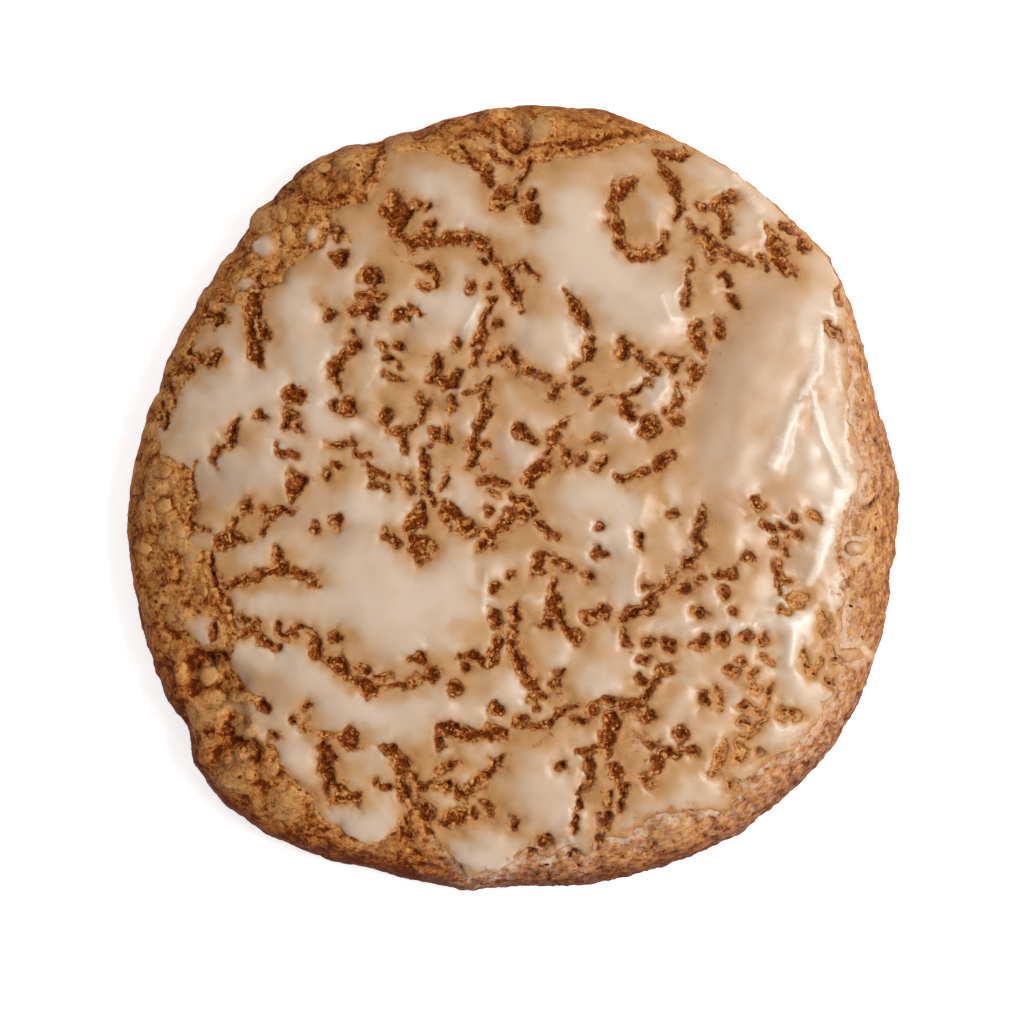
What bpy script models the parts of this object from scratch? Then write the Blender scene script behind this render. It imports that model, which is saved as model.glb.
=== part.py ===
"""An iced oatmeal cookie, about 83 mm across.

The biscuit is one solid: a low round mound on a flat foot, with a craggy crust.
The icing is a thin broken sheet on its top, with a few loose dabs round it.
The origin is under the middle, on the surface that the cookie lies on; +Z is up.
Sizes in the tables are millimetres and degrees, anticlockwise from +X.
"""
import math

import bmesh
import bpy
import numpy as np
from mathutils import Vector, noise

MM = 0.001

# Driving sizes of the biscuit.
MEAN_RADIUS = 41.55
THICKNESS = 12.0
WIDEST_HEIGHT = 3.2
FOOT_INSET = 1.7
SHOULDER_POWER = 2.6
LATTICE_RINGS = 30

# Crust: lumps between crevices, finer crumb, and how deep each goes.
LUMP_PITCH = 5.2
LUMP_HEIGHT = 1.0
CREVICE_SHARE = 0.3
CRUMB_PITCH = 3.0
CRUMB_HEIGHT = 0.3
SIDE_RELIEF = 0.5
ICED_RELIEF = 0.55
RELIEF_FADE = 3.0

# Icing: how it lies on the crust.
ICING_GAP = 0.3
ICING_EDGE_THICKNESS = 0.28
ICING_THICKNESS = 0.95
ICING_ROUNDING = 2.2
ICING_LOWEST = 5.2
ICING_WAVE_PITCH = 9.0
ICING_WAVE = 0.3
GAP_DEPTH = 0.8
SNAP_SHARE = 0.35
CLOSE_SHARE = 0.12
SMALLEST_DAB = 4.0

# Length of the half section, from the top's middle to the foot, in mean radii.
SECTION_LENGTH = 1.18

# Lobes and dents of the rim: direction, half width, reach.
RIM_LOBES = (
    (228, 18, 3.4), (318, 20, 1.7), (290, 17, 0.9), (258, 9, 0.45),
    (58, 30, 0.75), (36, 6, 0.4), (78, 9, 0.4), (14, 13, -1.2),
    (153, 22, -2.1), (110, 5.5, -1.0), (101, 7, -0.6), (120, 5, 0.45),
    (137, 6, -0.4), (171, 9, -0.4), (216, 2.5, -0.7), (305, 2, -0.35),
)

# How far in from the rim the icing ends, by direction.
ICING_EDGE = (
    (0, 4.7), (6, 3.1), (14, 3.0), (22, 2.0), (30, 0.5), (38, -1.2), (60, -1.2),
    (66, 0.3), (74, 3.8), (82, 5.7), (93, 7.6), (98, 4.9), (105, 3.3), (110, 1.6),
    (114, 5.4), (122, 5.6), (127, 7.4), (134, 6.1), (142, 5.6), (148, 2.2),
    (160, 2.2), (170, 1.4), (176, 6.0), (186, 7.0), (192, 8.9), (205, 9.6),
    (211, 7.4), (220, 9.2), (231, 6.8), (239, 4.2), (247, 2.4), (252, 8.2),
    (256, 7.6), (260, 3.6), (266, 1.6), (272, 4.6), (281, 3.2), (285, 4.6),
    (297, 5.2), (305, 2.8), (313, 3.8), (322, 2.9), (330, 2.7), (340, 5.0),
    (350, 5.8),
)

# Gaps where the crust shows through the icing: half width, then the way they run.
ICING_GAPS = (
    (1.3, (-12.4, 32.2), (-12.3, 28.3)),
    (1.4, (-1.2, 33.4), (-1.9, 32.2)),
    (1.0, (-9.8, 27.4), (-3.4, 26.9), (-0.8, 24.0), (0.8, 20.6)),
    (1.0, (13.0, 33.4), (10.4, 31.0), (10.7, 27.9), (13.0, 25.6), (16.4, 27.4)),
    (1.0, (28.0, 27.6), (28.8, 24.9), (30.2, 23.7)),
    (1.2, (-28.0, 21.0), (-27.6, 17.6), (-27.1, 14.8)),
    (1.0, (-17.0, 17.0), (-18.6, 14.3), (-18.5, 12.2)),
    (1.0, (-9.4, 10.8), (-9.6, 8.0), (-12.4, 6.9)),
    (1.0, (-2.6, 12.2), (-2.7, 8.5), (-4.0, 4.6)),
    (1.1, (3.6, 3.6), (1.9, 1.3)),
    (1.5, (-12.8, -4.6), (-10.2, -6.0)),
    (1.0, (-6.6, -1.6), (-4.7, -3.5), (-2.0, -4.2), (1.4, -2.0)),
    (1.5, (-28.4, -0.4), (-28.0, -2.0)),
    (1.0, (-30.0, -9.6), (-26.0, -8.3), (-23.6, -8.2), (-21.0, -9.4)),
    (1.1, (-21.2, -15.0), (-19.0, -17.6), (-17.0, -19.7), (-14.6, -20.9), (-9.0, -19.6)),
    (1.0, (4.7, -8.8), (4.6, -11.0), (5.2, -13.3), (6.8, -15.2)),
    (1.0, (0.5, -12.7), (0.3, -15.5), (1.1, -18.2), (3.2, -20.9)),
    (1.0, (20.3, -2.0), (20.0, -5.4), (17.4, -8.3), (14.4, -11.8), (12.2, -13.4)),
    (1.4, (21.1, -20.8), (21.1, -22.3)),
    (1.1, (-7.8, -25.1), (-1.8, -25.6)),
    (1.0, (5.2, -23.2), (9.0, -22.3), (14.0, -22.1), (15.4, -20.2)),
    (1.1, (11.4, -23.2), (10.4, -25.5), (10.3, -28.0), (11.6, -31.0), (10.4, -35.2)),
    (1.0, (8.1, -27.6), (8.3, -30.3), (7.6, -33.2)),
    (1.1, (-13.0, -27.2), (-11.4, -29.2), (-11.3, -31.6), (-10.0, -34.0), (-10.6, -37.0)),
    (1.0, (-1.7, -28.7), (-3.0, -30.0), (-4.8, -32.6), (-5.4, -34.2)),
    (1.3, (-20.0, -26.0), (-19.4, -28.6), (-19.4, -31.8)),
    (1.1, (22.8, -26.6), (21.8, -29.3)),
    (1.1, (30.2, -11.4), (31.6, -11.3)),
)

# Dabs of icing outside the sheet: middle, half length, half width, turn.
ICING_DABS = (
    (-26.3, 26.9, 1.7, 1.5, 20), (-29.3, 22.7, 1.6, 1.3, 10),
    (1.6, 39.4, 2.4, 1.3, -15), (-33.3, -14.4, 2.1, 1.6, 60),
    (-34.0, -5.9, 1.4, 2.0, 0), (-28.6, -23.0, 2.6, 1.2, -12),
)

# Large oat lumps in the bare crust: middle, radius, height.
OAT_LUMPS = (
    (-32.5, -23.0, 2.3, 0.8), (-28.3, -24.6, 1.9, 0.7), (-29.5, -29.6, 2.8, 0.8),
    (-32.4, -19.1, 1.6, 0.7), (-36.8, 1.8, 1.9, 0.6), (-24.0, -33.0, 2.4, 0.5),
    (17.5, -35.8, 2.6, 0.6), (-17.0, 35.5, 2.6, 0.5), (37.0, -6.0, 1.8, 0.4),
)

# Deep fissures in the bare crust: half width, then the way they run.
FISSURES = (
    (1.1, (-33.6, -18.0), (-33.3, -20.4), (-31.8, -21.4)),
    (0.9, (-30.6, -27.8), (-28.0, -27.3)),
    (0.8, (-29.4, -23.6), (-29.8, -25.2)),
    (0.8, (-31.6, -17.6), (-29.4, -19.8)),
)
FISSURE_DEPTH = 1.1

CRUST_COLOUR = (0.36, 0.17, 0.07)
ICING_COLOUR = (0.66, 0.51, 0.37)


def remove_old_objects():
    for old in list(bpy.data.objects):
        bpy.data.objects.remove(old, do_unlink=True)


def smooth_step(value):
    """Rise from 0 to 1 with no corner, for a value between 0 and 1."""
    value = np.clip(value, 0.0, 1.0)
    return value * value * (3.0 - 2.0 * value)


def rim_radius(degrees):
    """Distance from the axis to the widest line in each direction."""
    radius = np.full(degrees.shape, MEAN_RADIUS)
    for direction, half_width, reach in RIM_LOBES:
        turn = (degrees - direction + 180.0) % 360.0 - 180.0
        radius += reach * np.exp(-(turn / half_width) ** 2)
    return radius


def icing_inset(degrees):
    """Distance from the rim in to the icing's edge in each direction."""
    directions = [row[0] for row in ICING_EDGE] + [360]
    insets = [row[1] for row in ICING_EDGE] + [ICING_EDGE[0][1]]
    return np.interp(degrees, directions, insets)


def run_distance(x, y, half_width, stations):
    """Distance to a band that follows the stations, less than 0 inside it."""
    nearest = np.full(x.shape, np.inf)
    for (x0, y0), (x1, y1) in zip(stations, stations[1:]):
        across, along = x1 - x0, y1 - y0
        share = ((x - x0) * across + (y - y0) * along) / (across ** 2 + along ** 2)
        share = np.clip(share, 0.0, 1.0)
        gap = np.hypot(x - x0 - share * across, y - y0 - share * along)
        nearest = np.minimum(nearest, gap)
    return nearest - half_width


def oval_distance(x, y, middle_x, middle_y, half_length, half_width, turn):
    """Rough distance to an oval, less than 0 inside it."""
    cosine, sine = math.cos(math.radians(turn)), math.sin(math.radians(turn))
    along = ((x - middle_x) * cosine + (y - middle_y) * sine) / half_length
    across = ((y - middle_y) * cosine - (x - middle_x) * sine) / half_width
    return (np.hypot(along, across) - 1.0) * min(half_length, half_width)


def gap_distance(x, y):
    """Distance to the nearest gap in the icing."""
    gaps = [run_distance(x, y, row[0], row[1:]) for row in ICING_GAPS]
    return np.min(gaps, axis=0)


def icing_cover(points):
    """Distance inside the icing's outline, less than 0 on bare crust."""
    x, y, z = points.T
    degrees = np.degrees(np.arctan2(y, x)) % 360.0
    cover = rim_radius(degrees) - icing_inset(degrees) - np.hypot(x, y)
    for dab in ICING_DABS:
        cover = np.maximum(cover, -oval_distance(x, y, *dab))
    cover = np.minimum(cover, gap_distance(x, y))
    return np.minimum(cover, z - ICING_LOWEST)


def profile():
    """The half section from the top's middle to the foot: radius share and height."""
    rise = THICKNESS - WIDEST_HEIGHT
    power = 2.0 / SHOULDER_POWER
    turn = np.linspace(0.0, math.pi / 2, 240)
    top_share = np.sin(turn) ** power
    top_height = WIDEST_HEIGHT + rise * np.cos(turn).clip(0.0) ** power
    low_share = 1.0 - FOOT_INSET / MEAN_RADIUS * (1.0 - np.cos(turn))
    low_height = WIDEST_HEIGHT * (1.0 - np.sin(turn))
    share = np.concatenate([top_share, low_share[1:]])
    height = np.concatenate([top_height, low_height[1:]])
    return share, height


def lattice():
    """A flat hexagon of even triangles, with each corner's ring share and direction."""
    mesh = bmesh.new()
    bmesh.ops.create_circle(mesh, cap_ends=True, cap_tris=True, segments=6, radius=1.0)
    corner = next(vert for vert in mesh.verts if vert.co.length > 0.5)
    first = math.atan2(corner.co.y, corner.co.x)
    bmesh.ops.subdivide_edges(
        mesh, edges=mesh.edges[:], cuts=LATTICE_RINGS - 1, use_grid_fill=True)
    flat = np.array([vert.co[:2] for vert in mesh.verts])
    turn = (np.arctan2(flat[:, 1], flat[:, 0]) - first) % (2 * math.pi)
    sixth = math.pi / 3
    sector = np.floor(turn / sixth + 1e-6) % 6
    inner = turn - sector * sixth
    length = np.hypot(flat[:, 0], flat[:, 1])
    share = length * np.cos(inner - sixth / 2) / math.cos(sixth / 2)
    along = 0.5 + np.tan(inner - sixth / 2) / (2 * math.tan(sixth / 2))
    along = np.where(share > 1e-9, along, 0.0)
    return mesh, share, (sector + along) * sixth


def base_points(share, direction):
    """Points of the plain mound for the lattice's rings and directions."""
    radius_share, height = profile()
    step = np.hypot(np.diff(radius_share * MEAN_RADIUS), np.diff(height))
    run = np.concatenate([[0.0], np.cumsum(step)])
    run /= run[-1]
    radius = rim_radius(np.degrees(direction) % 360.0) * np.interp(share, run, radius_share)
    return np.stack([radius * np.cos(direction), radius * np.sin(direction),
                     np.interp(share, run, height)], axis=1)


def set_points(mesh, points):
    for vert, point in zip(mesh.verts, points):
        vert.co = point


def surface_normals(mesh, points):
    """Outward normals of the plain mound at the lattice's points."""
    set_points(mesh, points)
    mesh.normal_update()
    return np.array([vert.normal[:] for vert in mesh.verts])


def lump_noise(points):
    """Rounded lumps with crevices between them, and the crumb on them."""
    heights = []
    for point in points:
        near, _ = noise.voronoi(Vector(point) / LUMP_PITCH)
        lump = min((near[1] - near[0]) / CREVICE_SHARE, 1.0)
        crumb = noise.fractal(Vector(point) / CRUMB_PITCH, 0.9, 2.0, 3)
        heights.append(LUMP_HEIGHT * (lump - 0.75) + CRUMB_HEIGHT * crumb)
    return np.array(heights)


def wave_noise(points):
    """Slow swells of the icing's upper face."""
    return np.array([noise.noise(Vector(point) / ICING_WAVE_PITCH) for point in points])


def crust_relief(points, cover):
    """Height of the crust over the plain mound."""
    x, y, z = points.T
    relief = lump_noise(points)
    relief *= 1.0 - (1.0 - SIDE_RELIEF) * smooth_step((THICKNESS - 4.0 - z) / 4.0)
    for middle_x, middle_y, radius, height in OAT_LUMPS:
        away = np.hypot(x - middle_x, y - middle_y) / radius
        relief += height * np.clip(1.0 - away ** 2, 0.0, 1.0)
    for row in FISSURES:
        relief -= FISSURE_DEPTH * smooth_step(1.0 - run_distance(x, y, row[0], row[1:]))
    iced = smooth_step((cover + 1.0) / RELIEF_FADE)
    relief *= 1.0 - (1.0 - ICED_RELIEF) * iced
    relief -= GAP_DEPTH * smooth_step(0.5 - gap_distance(x, y)) * (z > ICING_LOWEST)
    return relief * smooth_step(z / 2.5)


def snap_to_edge(share, direction, spacing):
    """Move the lattice's points that lie near the icing's edge onto it."""
    points = base_points(share, direction)
    cover = icing_cover(points)
    trial = 0.02
    outward = (icing_cover(base_points(share + trial / LATTICE_RINGS, direction)) - cover) / trial
    arc = trial * spacing / np.maximum(np.hypot(points[:, 0], points[:, 1]), spacing)
    around = (icing_cover(base_points(share, direction + arc)) - cover) / trial
    steep = outward ** 2 + around ** 2
    near = (np.abs(cover) < SNAP_SHARE * spacing) & (steep > 0.1) & (share > 0.06) & (share < 0.9)
    move = np.where(near, -cover / np.maximum(steep, 0.1), 0.0)
    share = share + move * outward / LATTICE_RINGS
    direction = direction + move * around * arc / trial
    return share, direction


def make_material(name, colour, roughness):
    material = bpy.data.materials.new(name)
    material.use_nodes = True
    shader = material.node_tree.nodes["Principled BSDF"]
    shader.inputs["Base Color"].default_value = (*colour, 1.0)
    shader.inputs["Roughness"].default_value = roughness
    shader.inputs["Metallic"].default_value = 0.0
    return material


def make_object(name, mesh, material, collection, middle):
    """Turn a mesh in millimetres into a named object in metres, over the origin."""
    bmesh.ops.translate(mesh, verts=mesh.verts[:], vec=-middle)
    bmesh.ops.scale(mesh, verts=mesh.verts[:], vec=(MM, MM, MM))
    data = bpy.data.meshes.new(name)
    mesh.to_mesh(data)
    data.materials.append(material)
    data.shade_smooth()
    data.set_sharp_from_angle(angle=math.radians(50))
    collection.objects.link(bpy.data.objects.new(name, data))


def box_middle(mesh):
    """The middle of the mesh's box, seen from above, at the height of its foot."""
    points = np.array([vert.co[:] for vert in mesh.verts])
    low, high = points.min(axis=0), points.max(axis=0)
    return Vector(((low[0] + high[0]) / 2, (low[1] + high[1]) / 2, low[2]))


def make_biscuit(mesh, points):
    """The crust's upper surface and sides, closed underneath by one flat face."""
    biscuit = mesh.copy()
    set_points(biscuit, points)
    rim = [edge for edge in biscuit.edges if edge.is_boundary]
    for vert in {vert for edge in rim for vert in edge.verts}:
        vert.co.z = 0.0
    bmesh.ops.contextual_create(biscuit, geom=rim)
    bmesh.ops.recalc_face_normals(biscuit, faces=biscuit.faces[:])
    return biscuit


def cut_at_edge(mesh, cover):
    """Cut the lattice along the icing's edge and drop what lies outside it."""
    height = mesh.verts.layers.float["thickness"]
    values = dict(zip(mesh.verts, cover))
    for vert, value in values.items():
        vert.tag = bool(value > 0.0)
    crossing = [edge for edge in mesh.edges
                if values[edge.verts[0]] * values[edge.verts[1]] < 0]
    fresh = []
    for edge in crossing:
        start, end = edge.verts
        share = values[start] / (values[start] - values[end])
        _, vert = bmesh.utils.edge_split(edge, start, share)
        fresh.append(vert)
    for vert in fresh:
        vert[height] = ICING_EDGE_THICKNESS
        vert.tag = False
    on_edge = fresh + [vert for vert in values if values[vert] == 0.0]
    bmesh.ops.connect_verts(mesh, verts=on_edge)
    outside = [face for face in mesh.faces if not any(vert.tag for vert in face.verts)]
    bmesh.ops.delete(mesh, geom=outside, context="FACES")
    bmesh.ops.triangulate(mesh, faces=mesh.faces[:])
    drop_pinches(mesh)


def islands(mesh):
    """The separate patches of a sheet, as sets of faces, largest first."""
    left = set(mesh.faces)
    found = []
    while left:
        patch = set()
        front = [left.pop()]
        while front:
            face = front.pop()
            patch.add(face)
            for edge in face.edges:
                for other in edge.link_faces:
                    if other in left:
                        left.discard(other)
                        front.append(other)
        found.append(patch)
    return sorted(found, key=lambda patch: -sum(face.calc_area() for face in patch))


def drop_pinches(mesh):
    """Drop the small faces that hang on the sheet by one corner only."""
    while True:
        spare = set()
        for vert in mesh.verts:
            if sum(edge.is_boundary for edge in vert.link_edges) > 2:
                spare |= min(fans(vert), key=lambda fan: sum(face.calc_area() for face in fan))
        if not spare:
            return
        bmesh.ops.delete(mesh, geom=list(spare), context="FACES")


def fans(vert):
    """The faces round a corner, in groups that share edges there."""
    left = set(vert.link_faces)
    found = []
    while left:
        fan = set()
        front = [left.pop()]
        while front:
            face = front.pop()
            fan.add(face)
            for edge in face.edges:
                if vert in edge.verts:
                    beside = left.intersection(edge.link_faces)
                    left -= beside
                    front.extend(beside)
        found.append(fan)
    return found


def keep_faces(mesh, number):
    """A copy of the mesh with one of its patches only."""
    copy = mesh.copy()
    copy.faces.ensure_lookup_table()
    keep = islands(copy)[number]
    spare = [face for face in copy.faces if face not in keep]
    bmesh.ops.delete(copy, geom=spare, context="FACES")
    return copy


def thicken(sheet):
    """Close a sheet into a solid: the sheet below, a raised copy of it above."""
    grown = bmesh.ops.extrude_face_region(sheet, geom=sheet.faces[:], use_keep_orig=True)
    raised = [item for item in grown["geom"] if isinstance(item, bmesh.types.BMVert)]
    height = sheet.verts.layers.float["thickness"]
    outward = sheet.verts.layers.float_vector["outward"]
    for vert in raised:
        vert.co += vert[outward].normalized() * vert[height]
    bmesh.ops.recalc_face_normals(sheet, faces=sheet.faces[:])


def icing_thickness(points, cover):
    """How thick the icing lies: thin and round at its edges, with slow swells inside."""
    inside = np.clip(cover / ICING_ROUNDING, 0.0, 1.0)
    rounding = np.sqrt(1.0 - (1.0 - inside) ** 2)
    full = ICING_THICKNESS + ICING_WAVE * wave_noise(points)
    return ICING_EDGE_THICKNESS + (full - ICING_EDGE_THICKNESS) * rounding


def make_icing_sheet(mesh, under, normals, thickness):
    """Lay the lattice just over the crust, with its thickness kept on each point."""
    set_points(mesh, under)
    height = mesh.verts.layers.float.new("thickness")
    outward = mesh.verts.layers.float_vector.new("outward")
    for vert, normal, depth in zip(mesh.verts, normals, thickness):
        vert[height] = depth
        vert[outward] = normal


def main():
    remove_old_objects()
    collection = bpy.data.collections.new("iced_oatmeal_cookie")
    bpy.context.scene.collection.children.link(collection)
    crust = make_material("crust", CRUST_COLOUR, 0.85)
    glaze = make_material("icing", ICING_COLOUR, 0.35)

    mesh, share, direction = lattice()
    spacing = MEAN_RADIUS * SECTION_LENGTH / LATTICE_RINGS
    share, direction = snap_to_edge(share, direction, spacing)
    base = base_points(share, direction)
    normals = surface_normals(mesh, base)
    cover = icing_cover(base)
    cover[np.abs(cover) < CLOSE_SHARE * spacing] = 0.0
    relief = crust_relief(base, cover)
    biscuit = make_biscuit(mesh, base + normals * relief[:, None])
    middle = box_middle(biscuit)
    make_object("biscuit", biscuit, crust, collection, middle)

    under = base + normals * (relief + ICING_GAP)[:, None]
    make_icing_sheet(mesh, under, normals, icing_thickness(base, cover))
    cut_at_edge(mesh, cover)
    for number, patch in enumerate(islands(mesh)):
        if sum(face.calc_area() for face in patch) > SMALLEST_DAB:
            solid = keep_faces(mesh, number)
            thicken(solid)
            name = f"icing_dab_{number}" if number else "icing"
            make_object(name, solid, glaze, collection, middle)


main()
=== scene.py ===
import math

import bpy
import numpy as np
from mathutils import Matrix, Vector, noise


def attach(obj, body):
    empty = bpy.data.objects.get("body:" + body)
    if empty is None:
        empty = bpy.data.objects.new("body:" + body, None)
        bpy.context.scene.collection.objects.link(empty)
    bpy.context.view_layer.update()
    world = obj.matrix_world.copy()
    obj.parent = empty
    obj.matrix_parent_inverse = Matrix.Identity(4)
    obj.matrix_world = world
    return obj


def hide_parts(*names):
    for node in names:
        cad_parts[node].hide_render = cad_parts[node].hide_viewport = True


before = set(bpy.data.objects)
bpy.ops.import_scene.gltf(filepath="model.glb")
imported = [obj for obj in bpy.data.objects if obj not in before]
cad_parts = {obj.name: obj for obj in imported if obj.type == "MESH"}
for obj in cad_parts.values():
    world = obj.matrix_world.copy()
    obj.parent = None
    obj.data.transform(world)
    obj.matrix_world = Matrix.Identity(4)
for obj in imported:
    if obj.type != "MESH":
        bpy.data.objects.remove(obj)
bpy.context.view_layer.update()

MM = 0.001

# The bends of the lumps and granules come out the same each run only with a fixed seed.
NOISE_SEED = 1795526836
noise.seed_set(NOISE_SEED)

# ---------------------------------------------------------------- sizes of the cookie

MEAN_RADIUS = 41.55
THICKNESS = 12.0
WIDEST_HEIGHT = 3.2
FOOT_INSET = 1.7
SHOULDER_POWER = 2.6
SECTION_LENGTH = 1.18
SECTION_STEPS = 240
RINGS = 48
FINE_SPLIT = 4
RING_STEP = MEAN_RADIUS * SECTION_LENGTH / RINGS

# The dough's lumps, crevices and crumb.
LUMP_PITCH = 5.2
LUMP_HEIGHT = 0.75
LUMP_LEVEL = 0.75
LUMP_BEND, LUMP_BEND_PITCH = 1.4, 3.0
LUMP_WAVER, LUMP_WAVER_PITCH = 0.4, 1.2
LUMP_SHARE, LUMP_SHARE_SWING, LUMP_SHARE_PITCH = 0.5, 0.8, 7.0
CREVICE_SHARE = 0.34
CRUMB_PITCH = 3.0
CRUMB_HEIGHT = 0.45
GRANULE_BEND, GRANULE_BEND_PITCH = 0.45, 0.9
GRANULE_EDGE = 0.6
COARSE_GRANULE_PITCH, COARSE_GRANULE_HEIGHT = 1.9, 0.2
FINE_GRANULE_PITCH, FINE_GRANULE_HEIGHT = 0.9, 0.12
GRIT_PITCH, GRIT_HEIGHT = 0.8, 0.3
SIDE_RELIEF, SIDE_FADE = 0.5, 4.0
ICED_RELIEF, ICED_RELIEF_LOSS = 0.75, 0.45
RELIEF_FADE = 3.0
RIM_FADE = 3.0
FISSURE_DEPTH = 1.1
FOOT_FADE = 2.5
FOOT_RINGS = (0.985, 0.93, 0.8, 0.6, 0.4, 0.2)
FOOT_SMOOTHING = 3
HOLLOW_ROUNDS, NOOK_ROUNDS = 14, 2

# The cracks and the crumb heaped in them.
GAP_REACH = 6.0
GAP_WIDENED = 0.07
GAP_ROUGH, GAP_ROUGH_PITCH = 0.3, 0.9
RAGGED_REACH, RAGGED_PITCH = 0.5, 1.7
CRACK_TAPER = 0.3
CRACK_WIDTH, CRACK_WIDTH_SWING, CRACK_WIDTH_PITCH = 0.95, 0.6, 2.4
NARROWEST, WIDEST = 0.45, 1.6
CRACK_DEPTH = 0.5
CRACK_DEPTH_SWING, CRACK_DEPTH_PITCH = 0.9, 3.0
HEAP_HEIGHT = 0.7

# The icing.
ICING_LOWEST = 5.2
ICING_FILM = 0.07
ICING_FULL = 0.14
ICING_SWELL = 0.12
ICING_SWELL_PITCH = 9.0
ICING_DEPTH = 0.45
ICING_EDGE_POWER = 2.4
POOL_HEIGHT = 0.4
RIDGE_SHARE = 0.7
DOME_HEIGHT = 0.22
DOME_WIDTH = 3.6
DOME_LEVEL = 0.6
SHADED_SIDE_REACH = 1.3
FRINGE_INSIDE, FRINGE_OUTSIDE = 3.0, 6.0
ZONE_WAVER, ZONE_PITCH = 0.9, 2.2
ZONE_FADE, ZONE_POWER = 0.8, 1.3
STREAK_WAVER, STREAK_PITCH = 0.15, 1.0
SHEET_AREA = 60.0
SMALLEST_DAB = 0.25

# The picture's scale and the camera.
PIXEL = 0.107
CAMERA_SHIFT = (-1.6 * PIXEL, -15.0 * PIXEL)
CAMERA_LENS = 300.0
CAMERA_SENSOR = 36.0
CAMERA_DISTANCE = 1024 * PIXEL * CAMERA_LENS / CAMERA_SENSOR
CAMERA_ELEVATION = math.radians(87.0)
AIM_HEIGHT = 3.2

# Lobes and dents of the rim: direction, half width, reach.
RIM_LOBES = (
    (228, 18, 3.4), (318, 20, 1.7), (290, 17, .9), (258, 9, .45), (58, 30, .75), (36, 6, .4),
    (78, 9, .4), (14, 13, -1.2), (153, 22, -2.1), (110, 5.5, -1), (101, 7, -.6), (120, 5, .45),
    (137, 6, -.4), (171, 9, -.4), (216, 3, -1.1), (148, 5, -.35), (104, 2.5, -.4), (163, 3, -.35),
    (178, 4, -.25), (191, 4, -.3), (211, 4, -.25), (304, 3, .6), (311, 5, .3), (321, 4, .35),
    (331, 7, .45), (340, 3, .3), (2, 5, .5), (36, 3, .35), (29, 3, .2), (244, 3, .25),
    (264, 2.5, .45), (298, 3, .25), (349, 3, -.2),
)

# How far in from the rim the icing ends, by direction.
ICING_OUTLINE = (
    (0, 4.7), (6, 3.1), (14, 3), (22, 2), (30, .5), (38, -.8), (60, -.8), (66, .3), (70, 1.7),
    (74, 3.8), (80, 5.5), (87, 6), (93, 7.6), (98, 4.9), (105, 3.3), (109.5, 1), (112, 3.4),
    (116, 6), (122, 5.6), (127, 7.6), (134, 6.1), (142, 5.8), (147, 2.3), (152, 1.4), (158, 2.2),
    (164, 2.3), (169.5, 1.3), (172.5, 1.9), (175.5, 6), (180, 6.8), (186, 7), (191, 8.9),
    (203, 9.3), (207.5, 10), (210.5, 7.5), (215, 7.4), (220.5, 9.4), (224, 7), (227, 8.2),
    (231, 6.6), (236, 5.9), (239, 4.2), (243, 3.5), (246.5, 2.2), (248.5, 2.6), (250.5, 4.2),
    (252.5, 9), (255.5, 8.5), (257, 5), (259.5, 3.9), (263, 1.7), (267, 1.5), (270, 2.3),
    (272, 3.7), (276.5, 3.2), (279, 4.1), (281.5, 2.8), (284.5, 4.8), (289, 4), (293, 5.2),
    (297, 5.3), (300, 4.3), (305, 2.5), (308.5, 3.9), (314.5, 3.8), (318, 2.9), (326, 2.9),
    (330, 2.6), (334, 3.6), (340, 5), (347, 5.6), (354, 5.9),
)

# Cracks where the crust shows through the icing: half width, then the way they run.
CRACKS_TOP = (
    (.7, (11.3, 30.2), (11.5, 28.4), (12.3, 27)), (.5, (2.2, 36.6), (1.6, 34.8), (.6, 33.4)),
    (.6, (-20.2, 28.6), (-18.8, 28.2), (-17.7, 28)), (.7, (-12.2, 28.2), (-10.8, 27.2), (-9.2, 27)),
    (.6, (-27, 19), (-26.3, 17.6), (-26.8, 16.2)), (.5, (21.2, 27.4), (21.4, 25.2)),
    (.7, (-32.8, 20), (-31.4, 19)), (.5, (-14, 37), (-15, 35.5), (-16, 34), (-16, 32.5)),
    (1.3, (-12.5, 32.2), (-12.3, 30), (-12.3, 28.3)),
    (.45, (-10.5, 27.6), (-8, 27.5), (-5, 27.6), (-3, 27.2), (-2.2, 26.2), (-1.7, 25.1),
     (-.5, 24.2), (-.3, 22.8), (.5, 21.8), (.9, 20)),
    (.5, (-5.6, 38), (-4, 36), (-2.6, 34.3), (-1.9, 33.5)),
    (1.2, (-.6, 32.8), (-.8, 31.8), (-1.6, 31.3)),
    (.3, (-10.3, 25), (-9, 24.8), (-8, 23.8), (-8.2, 22.8), (-9.8, 22.5)),
    (.25, (-10.5, 31), (-9, 30.9)), (.5, (-15, 24.3), (-14, 23.4), (-14.2, 22.4)),
    (.25, (-16, 21.5), (-13.5, 21.7)), (.3, (-26, 24.8), (-26.8, 22.5), (-27.2, 20.5)),
    (.5, (4.2, 36.5), (5, 37.8), (8, 38.2), (10, 38.6), (12, 39.3), (13.5, 39)),
    (.45, (13.4, 33.6), (12.3, 33.2), (11.4, 32.3), (11, 31), (11.1, 29.5), (11.6, 27.4),
     (12.3, 26.4), (13.1, 25.8), (13.8, 25.5), (15, 25.9), (16.2, 26.6), (16.6, 28)),
    (.5, (15.8, 36.8), (18.4, 36.5)),
    (.35, (16, 36.4), (16.7, 34.6), (17.6, 33.5), (17.8, 32), (18.1, 30.8), (17.6, 29.4)),
    (.12, (19.3, 29.2), (19.5, 28.2)),
    (.2, (19.2, 25.3), (19.5, 24.5), (18.9, 23.5), (18.8, 21.5), (18.9, 20.2)),
    (.6, (6.2, 21.8), (7, 20.3), (7.8, 18.7), (8.3, 18.1)),
    (.14, (0, 24.3), (1.3, 25.3), (2, 24.5), (3, 23)), (.3, (-2, 36.6), (0, 36)),
)
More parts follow.
